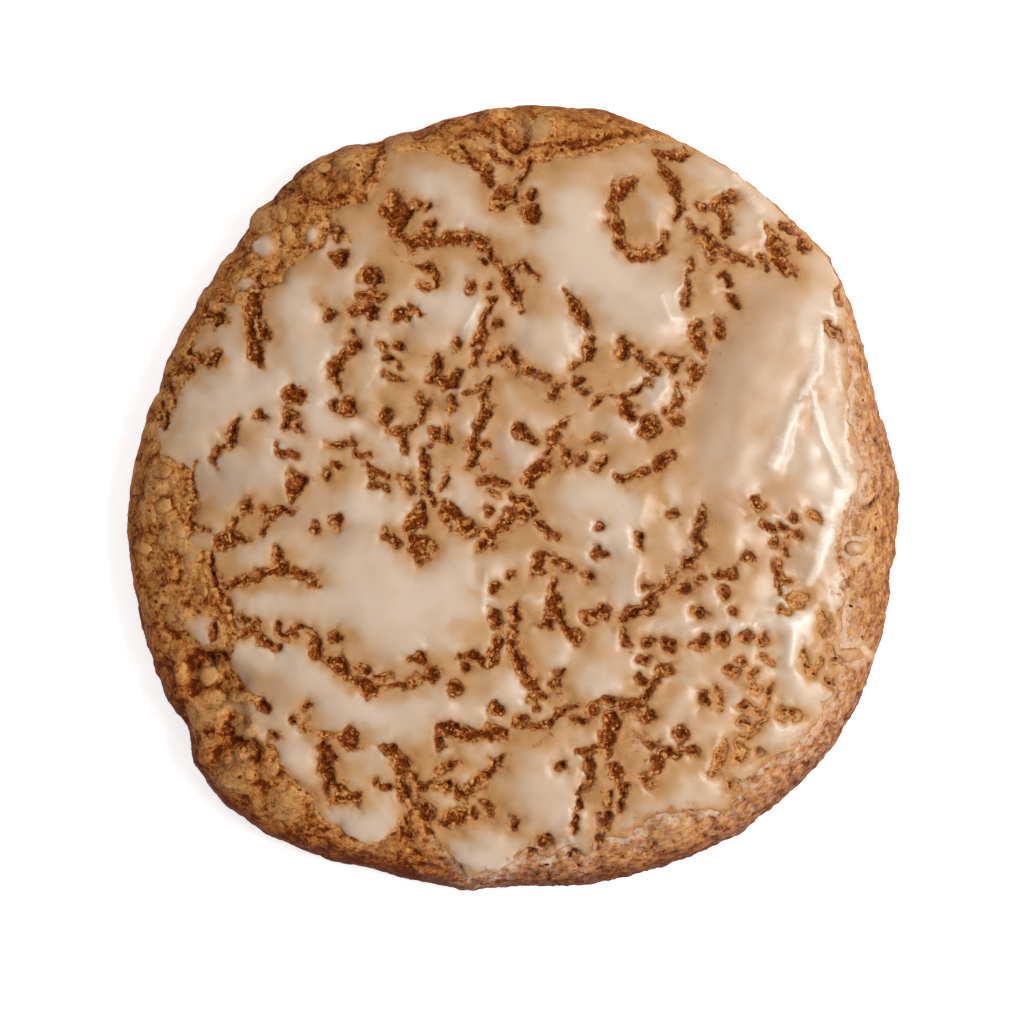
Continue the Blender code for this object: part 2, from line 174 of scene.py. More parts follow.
CRACKS_TOP_RIGHT = (
    (.5, (22, 31.3), (23.4, 32.2)), (.4, (22.8, 30.5), (23.2, 28.6)),
    (.35, (21.3, 27), (22.3, 26.5), (24, 25.6), (25.8, 24.8)), (.35, (23, 24), (23.3, 22.8)),
    (.35, (23.2, 21.6), (24.2, 20.5)), (.7, (27.6, 28.6), (28.2, 26.5), (28.8, 24.9), (30.3, 23.6)),
    (.35, (28.6, 28.8), (29.5, 29), (30.5, 28)), (.2, (26.9, 25.5), (27.3, 24.2)),
    (.2, (35.2, 22), (35.5, 20.8)), (.4, (33.8, 18.3), (34.6, 17.4), (35.2, 16.8)),
)
CRACKS_LEFT = (
    (.65, (-28, 20.6), (-27.6, 17.6), (-27.2, 15.2), (-27, 14)), (.35, (-33, 14.6), (-34.2, 15.3)),
    (.35, (-37.2, 9.8), (-37, 7.5)), (.35, (-29.3, 8), (-29.7, 6.8), (-29.8, 5.3)),
    (.22, (-29.6, 5.6), (-31.2, 5.1), (-31.9, 4), (-31.5, 3.2)),
    (.25, (-25.1, 5.6), (-24.9, 4.6), (-24, 4.2), (-23.4, 4.3)),
    (.7, (-23.5, 2.5), (-22.4, 1.8), (-23.3, .4), (-23.5, -.5)),
    (.25, (-34.2, 3.4), (-33.9, 0), (-34.2, -2.3), (-33.8, -3.5), (-32.3, -3.8)),
    (.35, (-23, -1.5), (-24.5, -1.3), (-25.3, -2), (-26, -3), (-26.8, -3.8)),
    (.45, (-25.3, -1.6), (-26.4, -1.6)), (.35, (-29.7, -2.5), (-29.6, -4.6)),
    (.4, (-30, -5.3), (-29, -4.5), (-28.3, -4.7)),
    (.35, (-32, -6), (-31.9, -8), (-31.3, -9.5), (-31, -10.5), (-30.4, -11.6), (-30, -12.8)),
    (.4, (-30.5, -9.9), (-29.5, -9.2), (-28, -9), (-27, -8.4), (-26, -8.1), (-25, -7.9),
     (-24, -8), (-23, -8.5), (-22, -8.6), (-21.3, -8.9), (-20.7, -9.8)),
    (.4, (-24.7, -5.6), (-24.8, -6.5), (-25, -7.5)),
    (.3, (-29.6, -13), (-28, -13), (-27.3, -13.4), (-27.2, -14.4), (-26.6, -15.3),
     (-25.9, -15.8), (-25, -16.3)),
    (.4, (-25, -13.5), (-24.6, -14.8), (-23.5, -15.3), (-22.8, -15.4)),
    (.2, (-23.5, -14.3), (-22.5, -14.1), (-21.7, -14.4)),
    (.5, (-21.3, -14.8), (-21, -15.7), (-20.6, -16.8), (-19.8, -17.6)),
    (.3, (-22, -24.2), (-22.3, -24.9), (-21.2, -25.2)), (.4, (-26.9, -22.3), (-26, -22.7)),
    (.3, (-28.5, -14.5), (-27.7, -14.3)), (.35, (-31.8, -14.1), (-31.7, -15.1)),
)
CRACKS_UPPER_MIDDLE = (
    (.5, (-17, 17.5), (-16.8, 16.5), (-17.5, 15.3), (-18.6, 14.3), (-18.8, 13), (-18.3, 11.7)),
    (.8, (-17.3, 20), (-15.2, 20.2), (-14.9, 19)), (.3, (-12.5, 18.8), (-11.6, 19.6)),
    (.12, (-11, 20.4), (-10, 20.3), (-9.5, 19.5)),
    (.18, (-13.9, 16.3), (-13.4, 15.3), (-12.8, 14.6), (-12, 14)),
    (.25, (-12.4, 16.1), (-11.8, 15.9)), (.12, (-13.3, 13.1), (-12.3, 12.6), (-11.3, 12.6)),
    (.5, (-7.7, 15), (-7.9, 13.8), (-8.3, 12.6), (-7, 12), (-6, 12.6), (-5.6, 13.2)),
    (.5, (-9.7, 11), (-9.3, 10), (-9.3, 8.8), (-9.7, 7.9)), (.5, (-13.7, 9.2), (-13.5, 8.2)),
    (.5, (-13, 6.7), (-11.3, 7), (-10, 7.7)), (.5, (-11.5, 6), (-11.3, 5)),
    (.2, (-6.1, 10.6), (-6.3, 8.8)), (.4, (-6.8, 7), (-6.7, 6)), (.3, (-8.2, 7), (-8, 5.9)),
    (.35, (-9.2, 5), (-9.1, 3.3), (-9.1, 1.5), (-9.4, .3)), (.15, (-6.7, 3), (-7.2, 1.1)),
    (.25, (-2, 20.8), (-2.3, 20), (-2.8, 18.5), (-3.2, 16.8), (-3.8, 16)),
    (.12, (-3.2, 15.3), (-4.5, 14)), (.45, (-.1, 15.8), (-1.7, 15), (-2.2, 14.3)),
    (.55, (0, 15.6), (.5, 14), (.6, 13)), (.4, (-2.5, 12.8), (-3, 11.8), (-4.8, 11)),
    (.4, (-2.7, 12), (-2.6, 10.3), (-2.5, 9), (-2.9, 8.2), (-3.6, 7), (-4.2, 5.8), (-3.8, 4.6),
     (-4.2, 3.4), (-3, 3)), (.4, (-3.3, 1.8), (-2, 1.8), (-.3, 1.2)), (.2, (-2.5, .6), (-1.5, 0)),
    (.3, (-19.5, 5.4), (-18, 5.5), (-16.7, 5.8)), (.25, (-16.4, 4.6), (-15.3, 4.2)),
    (.3, (-15.3, 3), (-14.8, 2.2), (-13, 2.2)), (.12, (-15, 1.2), (-13, .7)),
    (.5, (-12, 2), (-11, 1.5), (-10.5, .5)), (.4, (8.5, 16.7), (8.2, 15.7), (8.3, 14.5)),
    (.12, (8.3, 14.5), (6.5, 13.8)), (.3, (7.5, 12.5), (6.8, 12.2)),
    (.3, (5.7, 12), (4.8, 11.2), (4.3, 10.2)), (.2, (2.5, 12.6), (4.3, 12.6)),
    (.35, (12.1, 16.3), (12.1, 15)), (.1, (12.5, 16.5), (13.8, 15), (14, 14.5)),
    (.35, (14.9, 14.1), (15.4, 13.4)), (.4, (16.2, 14.6), (17.2, 14), (17.3, 13.2)),
    (.1, (15.5, 14.9), (19, 14.8)), (.4, (19.2, 14.2), (19.6, 13.5), (19.8, 12.6), (19.3, 12)),
    (.4, (18, 12), (18, 10.3), (17, 9.3), (16.6, 8.8)),
    (.45, (20, 19), (19.5, 18), (20.2, 16.8), (20.4, 15.5)), (.5, (22, 18.6), (22.6, 17.2)),
    (.14, (15.5, 12.2), (14.6, 12.1), (13.5, 11.2), (12.3, 10.7), (11.2, 10.6)),
    (.4, (12.3, 9.8), (12.9, 8.5)), (.3, (10.2, 10.9), (9.4, 10.6), (8.7, 9.3)),
    (.35, (.8, 7.2), (2.2, 6)), (.35, (6, 8.3), (5, 7), (4.4, 5.6), (3.8, 4.7)),
    (.35, (5.6, 5), (6, 4.2), (5.8, 3.2)), (.3, (8.2, 5.8), (9.3, 6.2), (9.9, 5.8)),
    (.3, (10.2, 4.2), (9.7, 3.5), (8.8, 3.1)), (.4, (17.1, 4.4), (15.4, 3.1)),
    (.3, (14.3, 2.7), (12, 1.6)), (.65, (3.4, 3.3), (2.1, 1.5)), (.4, (.4, 0), (1.8, -.6)),
)
CRACKS_MIDDLE = (
    (.45, (-9.6, -1.2), (-10, -2.3), (-10.7, -3.3), (-11.3, -3.9)), (.3, (-8.5, 0), (-8, -.7)),
    (.45, (-13.6, -3.6), (-12.8, -4.6), (-11.8, -5.2)), (.3, (-10.9, -4.4), (-10.4, -5.2)),
    (.35, (-9.8, -.8), (-9.4, -2.2), (-9.4, -3.4)), (.35, (-10.6, -6.6), (-9.9, -7)),
    (.45, (-7, -1), (-6.5, -1.5), (-5.7, -2.3), (-5.3, -3), (-4.7, -3.5), (-3.3, -3.8),
     (-2.3, -4.3), (-1.5, -4.4)), (.15, (-7, -1.2), (-7, -2.3), (-6.3, -3.5), (-5, -4)),
    (.35, (-1.8, -3.9), (-1.3, -3.3), (-.5, -2.7), (0, -2.2)), (.65, (.2, -1.8), (1.7, -1.9)),
    (.35, (2.7, -2.9), (3.5, -3.3), (4.5, -4), (5.2, -4.6)), (.65, (3.4, -6.4), (3, -8)),
    (.25, (4.3, -7), (4.8, -6.9)), (.35, (5.5, -6.9), (6, -7.5), (7, -8)),
    (.25, (8.2, -8.3), (8.6, -8.9)),
    (.55, (4.7, -8.8), (4.5, -10.3), (4.6, -11.3), (5.1, -12.3), (5.2, -13.3)),
    (.55, (5, -13.4), (4, -13.6), (3, -13.9)),
    (.4, (5.5, -13.7), (6.5, -14.5), (7, -15.3), (7, -16)), (.6, (8.3, -12.9), (9.9, -12.5)),
    (.35, (9.4, -6.1), (10.1, -6.3)), (.3, (-1.9, -9.9), (-1.4, -9.7)),
    (.25, (0, -8.5), (.4, -8.3)), (.5, (-1.7, -12.6), (-1.7, -13.4)),
    (.5, (.4, -12.4), (.5, -13.4)), (.45, (-1.4, -14.8), (-1.3, -15.8), (-1.9, -16.8)),
    (.35, (-2, -16.8), (-2, -18)),
    (.4, (.8, -14.2), (.2, -15), (0, -16), (.4, -17), (1, -18), (1.5, -19), (2, -20), (3, -20.9),
     (4, -21.5)), (.5, (-5.2, -17.6), (-4, -17.2), (-2.5, -17.6)),
    (.35, (-10.3, -17.4), (-9.6, -17)), (.9, (-19.6, -17.5), (-18.3, -18), (-17.4, -19.4)),
    (.85, (-16.8, -19.8), (-15, -20.6), (-13.8, -20.4)),
    (.4, (-13.2, -20.3), (-11.5, -20.1), (-10, -20)), (.65, (-9.7, -19.4), (-8.4, -19.2)),
    (.35, (-14.2, -19), (-13.5, -19.4), (-12.7, -19.3)), (.35, (-15.9, -18.5), (-15.4, -18.4)),
)
CRACKS_RIGHT = (
    (.4, (20.5, -1.4), (20.3, -3), (20, -4.6), (20.4, -5.6)),
    (.55, (20, -6.2), (19, -7), (18.3, -7.6)),
    (.45, (17.5, -8.2), (16.5, -9.5), (16, -10.4), (15, -11.1), (14.2, -11.9), (13, -12.4),
     (12, -13.1), (11.6, -13.8)), (.3, (12, -14.2), (12.3, -15.6), (13, -16.2)),
    (.5, (14.6, -12.2), (14.9, -12)), (.25, (14.5, -9.6), (15.2, -9.6)),
    (.3, (17.2, -2.1), (17.8, -2)), (.2, (13.7, -4), (13.9, -5.1), (14.3, -5.6)),
    (.35, (27.3, -3.1), (27.9, -3.6)), (.25, (28.2, -4.9), (28.6, -5)),
    (.45, (30, -4), (30.6, -4.2)), (.15, (29.7, -4.2), (29.3, -5.5), (29.4, -6.5)),
    (.4, (28.6, -6.8), (28.6, -8.3), (28.5, -9), (28.8, -10.4)), (.3, (28.9, -8.6), (29.8, -9.2)),
    (.4, (30, -11.2), (31.6, -10.8)), (.15, (28.8, -12), (29.7, -12.2)),
    (.35, (22.2, -8.2), (23.6, -8.4)), (.35, (36.3, -9), (35.9, -9.8)),
    (.35, (33.2, -12.6), (33.6, -14.8)),
    (.35, (31.3, -16.4), (31.7, -18.4), (32.6, -18.8), (33.1, -17.6)),
    (.4, (34.3, -17.7), (35.6, -17.9)), (.3, (33.5, -19.4), (34.4, -20.3)),
    (.7, (16.3, -18.5), (16.8, -18.3)),
    (.45, (15.9, -19.4), (15.2, -20.5), (14.5, -20.9), (14, -21.8)),
    (.3, (14.1, -19.7), (14.6, -19.8)),
    (.2, (5.7, -18.9), (4.8, -19.3), (4.4, -19.9), (5.2, -20.6)),
    (.3, (26.8, -17), (27.5, -17.6), (28, -17.8)),
    (.3, (26.5, -18.7), (25.9, -19.2), (25.5, -20.3)), (.25, (26.1, -20.9), (26.5, -20.8)),
    (.3, (28.1, -20.6), (27.4, -21.3), (27.3, -22.4)),
)
CRACKS_BOTTOM = (
    (.45, (20.7, -21.2), (20.7, -22.2)), (.3, (21.8, -20.4), (22.6, -21.4), (22.2, -22.8)),
    (.3, (27.3, -23.7), (26.5, -24.3), (25.8, -25), (25, -25.6), (24.3, -25.9)),
    (.45, (24.6, -22.7), (25.2, -22.6)), (.4, (26.2, -23.1), (26.6, -23.1)),
    (.4, (24.9, -24.3), (25.3, -24.3)),
    (.55, (22.8, -26.4), (22.8, -27.6), (22.2, -28.8), (21.5, -29.8)),
    (.8, (29.3, -23.3), (30.2, -23.4)),
    (.75, (-8, -25.1), (-6.5, -25.2), (-4.5, -25.5), (-2.5, -25.6), (-.8, -25.5)),
    (.45, (.2, -24.6), (.9, -24), (1.8, -23.9)),
    (.25, (2.3, -24.8), (3.5, -24.5), (4.5, -24), (5, -23.4), (5.4, -22.9), (6.5, -22.4),
     (7.2, -22.3)), (.3, (6.3, -24), (7.5, -23.9), (8.2, -24.4)), (.4, (8.4, -22.4), (9.2, -23.1)),
    (.35, (9.2, -22.2), (10.5, -22), (12, -22.2), (14, -22)), (.5, (12, -22.5), (14, -22.5)),
    (.75, (11.6, -23), (10.8, -24.2), (10.4, -25.5), (10.2, -26.8), (10.4, -28)),
    (.7, (10.9, -29), (11.4, -29.8)), (.4, (7.1, -27.2), (8.2, -27.4), (9.4, -26.9)),
    (.4, (7.8, -27.8), (8.3, -29.2), (8.4, -30.3), (7.8, -31.3)), (.2, (7.6, -31.8), (7.5, -33.6)),
    (.12, (7.1, -34.8), (6.6, -35.8)), (.35, (11.8, -30.8), (11.9, -32.2), (11.7, -33.6)),
    (.15, (10.6, -31.8), (10.3, -32.8)), (.55, (10.5, -34.4), (10.2, -35.4)),
    (.6, (9.4, -36.8), (9.4, -37.4)), (.35, (16.2, -27.5), (17.2, -27.3)),
    (.6, (16, -28.3), (15.4, -29)), (.25, (18.2, -26), (18.2, -27), (17.8, -27.8)),
    (.4, (2.3, -21.6), (2.8, -22.4)), (.9, (-17.6, -26), (-17, -26.1)),
    (.25, (-19.9, -25.4), (-19.2, -25.7), (-18.3, -26.2)),
    (.65, (-20, -25.8), (-20, -27.2), (-19.5, -28.4), (-19.5, -30), (-19.6, -31.5)),
    (.5, (-19, -30.8), (-18, -31.3), (-17, -31.8)), (.5, (-18.8, -32.4), (-16.7, -32.3)),
    (.3, (-14, -31), (-13.2, -31.1), (-12.4, -30.9)),
    (.5, (-13.8, -26.8), (-12.8, -27.3), (-12, -28.2)), (1, (-11.7, -28.7), (-11.4, -29.5)),
    (.45, (-11.9, -30), (-11.6, -31.2), (-11.2, -32.2), (-10.6, -33.2)),
    (.4, (-10.7, -29.9), (-9.8, -30.8), (-8.7, -31)), (.4, (-8, -29.9), (-6.8, -29), (-5.7, -28.4)),
    (.4, (-8.5, -31.1), (-7.4, -31.1), (-6.6, -30.7), (-5.9, -31)),
    (.6, (-5.8, -31), (-5.3, -32), (-4.9, -32.8)),
    (.5, (-.9, -27.8), (-1.7, -28.6), (-3, -30), (-4.2, -31.2), (-4.8, -32.3)),
    (.7, (-4.7, -33.2), (-4.8, -34.3), (-6, -34.9)), (.35, (-6, -34.8), (-7.2, -35)),
    (.35, (-2.9, -32.6), (-2.5, -33.3), (-2.1, -34.3)), (.75, (-9.1, -33.4), (-9.1, -34.3)),
    (.5, (-9.1, -34.7), (-8.8, -36)), (.5, (-10.8, -35), (-10.6, -37)),
    (.35, (2, -38.4), (2.3, -38)),
)
CRACKS = (CRACKS_TOP + CRACKS_TOP_RIGHT + CRACKS_LEFT + CRACKS_UPPER_MIDDLE
          + CRACKS_MIDDLE + CRACKS_RIGHT + CRACKS_BOTTOM)

# Small round pits in the icing: middle and radius.
PITS = (
    (-18.2, 25.6, .8), (1.9, 32.3, .4), (2.2, 30.2, .8), (-8.6, 28.9, .5), (-4.1, 22.2, .6),
    (-2.5, 22.5, .35), (-2, 21, .35), (-3, 25.1, .35), (20.3, 31, .4), (20.6, 28.4, .5),
    (13, 33.6, .5), (-15.3, 23.3, .7), (31.4, 27.1, .8), (-31.8, 14.7, .8), (-35, 13.5, .9),
    (-26.8, 8.5, .4), (-23.3, 10.9, 1), (-23.6, 8.6, .5), (-24.2, 7.7, .3), (-22.8, 7.4, .4),
    (-19.3, 19.6, .5), (-11.8, 19.5, .6), (-1.4, 18.5, .4), (-5.8, 16.5, .6), (-2.8, 5.3, .5),
    (-19.6, 2.2, .35), (-18.4, 3.3, .45), (-19, 9.8, .4), (-17.3, 9.7, .8), (17.8, 8.2, .6),
    (15, 7.3, 1), (7.6, 4, .4), (2, 13.5, .4), (8, 11.2, .3), (-31, -4.8, .8), (-20.7, -3.5, .45),
    (-18.7, -2.7, .5), (-3, -5.4, .5), (-2, -5.5, .2), (-2.3, -1.5, .5), (-18.8, -14.9, .6),
    (-5.9, -20.4, .6), (-4.9, -18.5, .4), (-3.2, -17.5, .5), (-1.7, -23, .6), (-7.6, -26.4, .5),
    (9.4, -3.2, .15), (14.8, -15.7, .35), (17, -15.9, .65), (20.2, -15.8, .8), (14.3, -17.5, .5),
    (18.5, -9.9, .5), (20.3, -9, .3), (20.1, -12.6, .5), (22.8, -10.4, .6), (23.7, -12.4, .45),
    (26.3, -1, .75), (30.2, -2.4, .45), (32.5, -2.2, .45), (29, -3.3, .3), (25.3, -6.7, .6),
    (22.6, -15.5, .65), (25.1, -15.3, .6), (27, -15.3, .5), (24.8, -17.7, .45), (23.7, -18.9, .55),
    (14.7, -23.7, .6), (18.2, -25.3, .6), (19.5, -27.4, .5), (5.5, -28.8, .35), (15.1, -26.6, .5),
    (14.5, -30.6, .7), (12.5, -31, .3), (-14.7, -30.8, .3), (.3, -34.9, .35), (3.7, -36.9, .8),
    (6.5, -38.3, .5), (24.7, -26.6, .55), (24.3, -27.8, .5), (26.6, -27.5, .45), (23.5, -31, .5),
    (27.9, -29.5, .5), (26.2, -30.3, .3), (34.1, -16.4, .45), (-25.3, -25.6, .4),
    (-23.2, -23.9, .4), (-21.8, -22.7, .3),
)

# Wide bare places in the icing: middle, half length, half width, turn.
BARE_PATCHES = (
    (-28.4, -1.4, .8, .5, 70), (-9.6, -5.6, 1.3, 1.1, 30), (-27.6, 20.2, .8, 1.6, 0),
    (-11, -36.2, .8, 1.3, 0), (-5.6, -34.4, 1.6, .9, 15),
)

# Dabs and tongues of icing outside its outline: middle, half length, half width, turn.
ICING_DABS = (
    (-26.3, 26.8, 1.4, 1.25, 20), (-28.3, 22.6, 1.3, .95, 10), (-21.2, 28.3, 1.4, .7, 70),
    (-1.3, 35.1, 1.5, 1.3, 0), (-2.4, 37.6, 1.3, .5, -30), (3.3, 39.5, 1.2, 1.1, 0),
    (1.2, 40.2, 1.6, .45, -20), (-32.7, -14.4, 2.3, 1.6, -20), (-34.1, -6.6, .75, 1.3, 0),
    (-33, -4.9, 1.6, 1, 0), (-28.6, -22.7, 2.4, .7, -12), (-26.7, -24, 1.3, 1.5, 0),
    (37, -5.7, 1.2, .8, 0), (34.8, -10.5, 1.1, 2.6, 0), (-8.5, 33.6, 4.6, 3.3, -15),
    (-10.2, 35.9, 3.2, 1.1, 12), (36.3, -17, 1.4, .8, 0),
)

# Large oat lumps in the bare crust: middle, radius, height.
OAT_LUMPS = (
    (-32.5, -23, 2.3, .8), (-28.3, -24.6, 1.9, .7), (-29.5, -29.6, 2.8, .8),
    (-32.4, -19.1, 1.6, .7), (-36.8, 1.8, 1.9, .6), (-24, -33, 2.4, .5), (17.5, -35.8, 2.6, .6),
    (-17, 35.5, 2.6, .5), (37, -6, 1.8, .4), (-36.5, 4, 1.2, .3), (-38.2, .6, 1.4, .4),
    (-29.2, -16.2, 1.2, .3), (-26, -29.3, 1.3, .4), (-36, -4.5, 1.8, .5), (-35.5, -13, 1.6, .4),
    (-33.5, 22, 1.8, .4), (-26.5, 30, 2, .4), (-12, 38, 1.8, .4),
)

# Deep fissures in the bare crust: half width, then the way they run.
FISSURES = (
    (1, (.2, 40), (.5, 38.4)), (1.1, (-33.6, -18), (-33.3, -20.4), (-31.8, -21.4)),
    (.9, (-30.6, -27.8), (-28, -27.3)), (.8, (-29.4, -23.6), (-29.8, -25.2)),
    (.8, (-31.6, -17.6), (-29.4, -19.8)),
)

# Places where the icing lies thin and amber, with painted shade on some slopes that face away from
# the light: middle, half length, half width, turn, how thin.
THIN_AND_SHADED_ZONES_MIDDLE = (
    (-16.4, 20.4, 2.2, 1.3, 20, .9), (-18.2, 17.5, .7, 1.7, 0, .7), (-10.3, 14.7, 2.4, 1.4, 0, .8),
    (-12.6, 11, 2.2, 1.6, 0, .65), (-16, 13.8, 2, 2, 0, .5), (-13.4, 8.5, 1.3, .8, 50, .9),
    (-11.4, 6.4, 1.2, .9, 0, .8), (-9.5, 9.5, .8, 1.8, 0, .7), (-6.5, 5.2, 1.2, 1.2, 0, .5),
    (-5, 10, 1.3, 1.3, 0, .5), (-4.5, 14.7, 1.4, 1.2, 0, .5), (-1.9, 20, 1, 1.6, 0, .5),
    (-3.5, 16.4, .8, .8, 0, .6), (-17.3, 9.3, 1.2, 1.2, 0, .8), (-18.5, 1.8, 2, 2, 0, .4),
    (-14, 1.6, 1.4, .6, 0, .8), (3.5, 21, 2.5, 1.8, 0, .5), (7.2, 20, .8, 1.2, 30, .8),
    (2.5, 11.3, 1.8, 1.8, 0, .5), (5.5, 9.5, 1.6, 1.6, 0, .5), (11, 14, 2.6, 2.8, 0, .8),
    (10.7, 9.2, .9, .9, 0, .8), (8.8, 4.7, 1.3, 1.3, 0, .5), (11.3, 5.3, 1.3, 1.3, 0, .4),
    (15, 5, 1.6, 1.6, 0, .5), (18.5, 3, 1.8, 1.8, 0, .5), (20.3, 9.5, 1, 2.5, 0, .4),
    (19.4, 19.2, .9, .9, 0, .7), (-11, -4.8, 2.8, 1.8, -38, .9), (-6, -3.2, 1, .6, 0, .8),
    (-2.7, -3.5, 1, .5, 0, .8), (-4.2, -10.5, .8, .5, 0, .6), (-3.5, -14.7, 2.2, 1.6, 0, .7),
    (-1.4, -13.3, .8, 1, 0, .8), (-9, -18.4, 1.3, 1, 0, .4), (-17, -20, 3.2, .9, -38, .9),
    (-3, -20.5, 2, 2, 0, .5), (-20.5, -8.5, 1, 1, 0, .5), (0, -10.5, 2, 2, 0, .5),
    (1.8, -8.3, .8, .6, 0, .7), (3.5, -13.3, 1.2, .9, 0, .9), (7.3, -12, 1, 1.8, 0, .4),
    (2.5, -16.5, 2, 2, 0, .5), (15, -8.5, 1.2, 2.3, 0, .8), (14.4, -3.7, .6, .9, 0, .5),
    (16.6, -.7, .6, .7, 0, .8), (17.5, -2, .7, .7, 0, .7), (19.8, -9.2, 2, 1.3, 0, .7),
    (13, -15, 1, 1.2, 0, .6), (12.8, -20.1, 1.2, 1.2, 0, .6), (11.3, -17.5, 1.5, 1.5, 0, .3),
    (.4, 7, 2, 1.4, 40, .4), (4, 4, 1.6, 2, 20, .5),
)
THIN_AND_SHADED_ZONES_AROUND = (
    (-13, 25.7, 1.6, 1.3, 0, .7), (-11.5, 23.5, 2, 1, 0, .5), (-5, 26, 2.4, 1, 0, .6),
    (14, 28, 2.2, 2, 0, .5), (12.3, 31.8, 1.4, 1.8, 0, .6), (16.5, 33.5, 1.4, 1.6, 0, .6),
    (-24.2, 9, 1.6, 1.6, 0, .5), (-28.3, 6, 2.2, 2, 0, .5), (33.2, 10.7, .7, .7, 0, .8),
    (31.4, 9.6, .8, 1.9, 0, .6), (31.2, 7, .5, 1, 0, .4), (3, 37.6, 1.6, 1.2, 0, .8),
    (21.9, 35.6, 1.2, .7, -35, .5), (25.2, 33, 1.4, .8, -50, .5), (-23.5, -6.5, 1.8, 1.4, 0, .5),
    (-26, -14, 1.4, .9, 0, .7), (-16.3, -15, .8, .8, 0, .5), (-11, -19.3, 1.6, .9, 0, .6),
    (-17.5, -29.5, 1.7, 1.5, 0, .8), (-1.5, -33.5, 2.4, 2, 0, .7), (-5.3, -28.7, 1.2, 1, 0, .7),
    (-10, -27.5, 2.4, 1.8, 0, .6), (7.6, -23.4, 2.8, 1.4, -20, .8), (13, -25, 2.4, 2.6, 0, .9),
    (12, -29.5, 1.6, 2.4, 0, .7), (22.6, 21.4, 1.6, 1.6, 0, .5), (25.5, 26, 2, 1.4, 40, .5),
    (20.6, 33, 1.4, 1.4, 0, .4), (-1.8, 31.8, 1.8, 2, 0, .8), (-12.3, 30, 1.8, 2.4, 0, .7),
    (-17.5, 24.5, 1.8, 2, 0, .6), (-25.5, 24, 1.4, 3, 0, .7), (-27.5, 17.5, 1.6, 3, 0, .7),
    (-33, 8, 1.8, 1.8, 0, .4), (-23, 1, 1.4, 1.8, 0, .6), (-28.2, -1.5, 2.6, 2, 0, .8),
    (-30.5, -8, 1.2, 3, 0, .6), (-26, -8.5, 2.6, 1, 0, .6), (-21, -15.5, 1.6, 1.2, 0, .6),
    (-15, -25.5, 2, 1.2, 0, .5), (-19.5, -28, 1.2, 2.6, 0, .8), (-11, -32.5, 1.6, 2.6, 0, .8),
    (-8, -34.5, 2, 1.6, 0, .8), (9.5, -31, 1.8, 3, 0, .7), (10, -36, 2, 1.6, 0, .8),
    (16.5, -28.3, 1.8, 1.2, 0, .7), (21, -21.8, 1.8, 1.6, 0, .8), (23, -28, 1.8, 2.4, -30, .8),
    (25.3, -24.4, 2, 1.4, 40, .8), (29.5, -23.5, 1.4, .9, 0, .7), (31.6, -11.5, 1.8, 1.4, 0, .5),
    (33.3, -14, 1.2, 2.4, 0, .5), (32, -18.3, 1.4, 2, 0, .6), (26, -20.5, 1.6, 2, 0, .6),
    (23.5, -17.5, 2.4, 1.2, 0, .5), (28.5, -27, 2.4, 1.2, 40, .5), (33.5, -7.5, 1.2, 1.8, -40, .4),
    (26.3, -2, 1.6, 1.4, 0, .6), (8, -2.5, 2, 1, 0, .25),
)
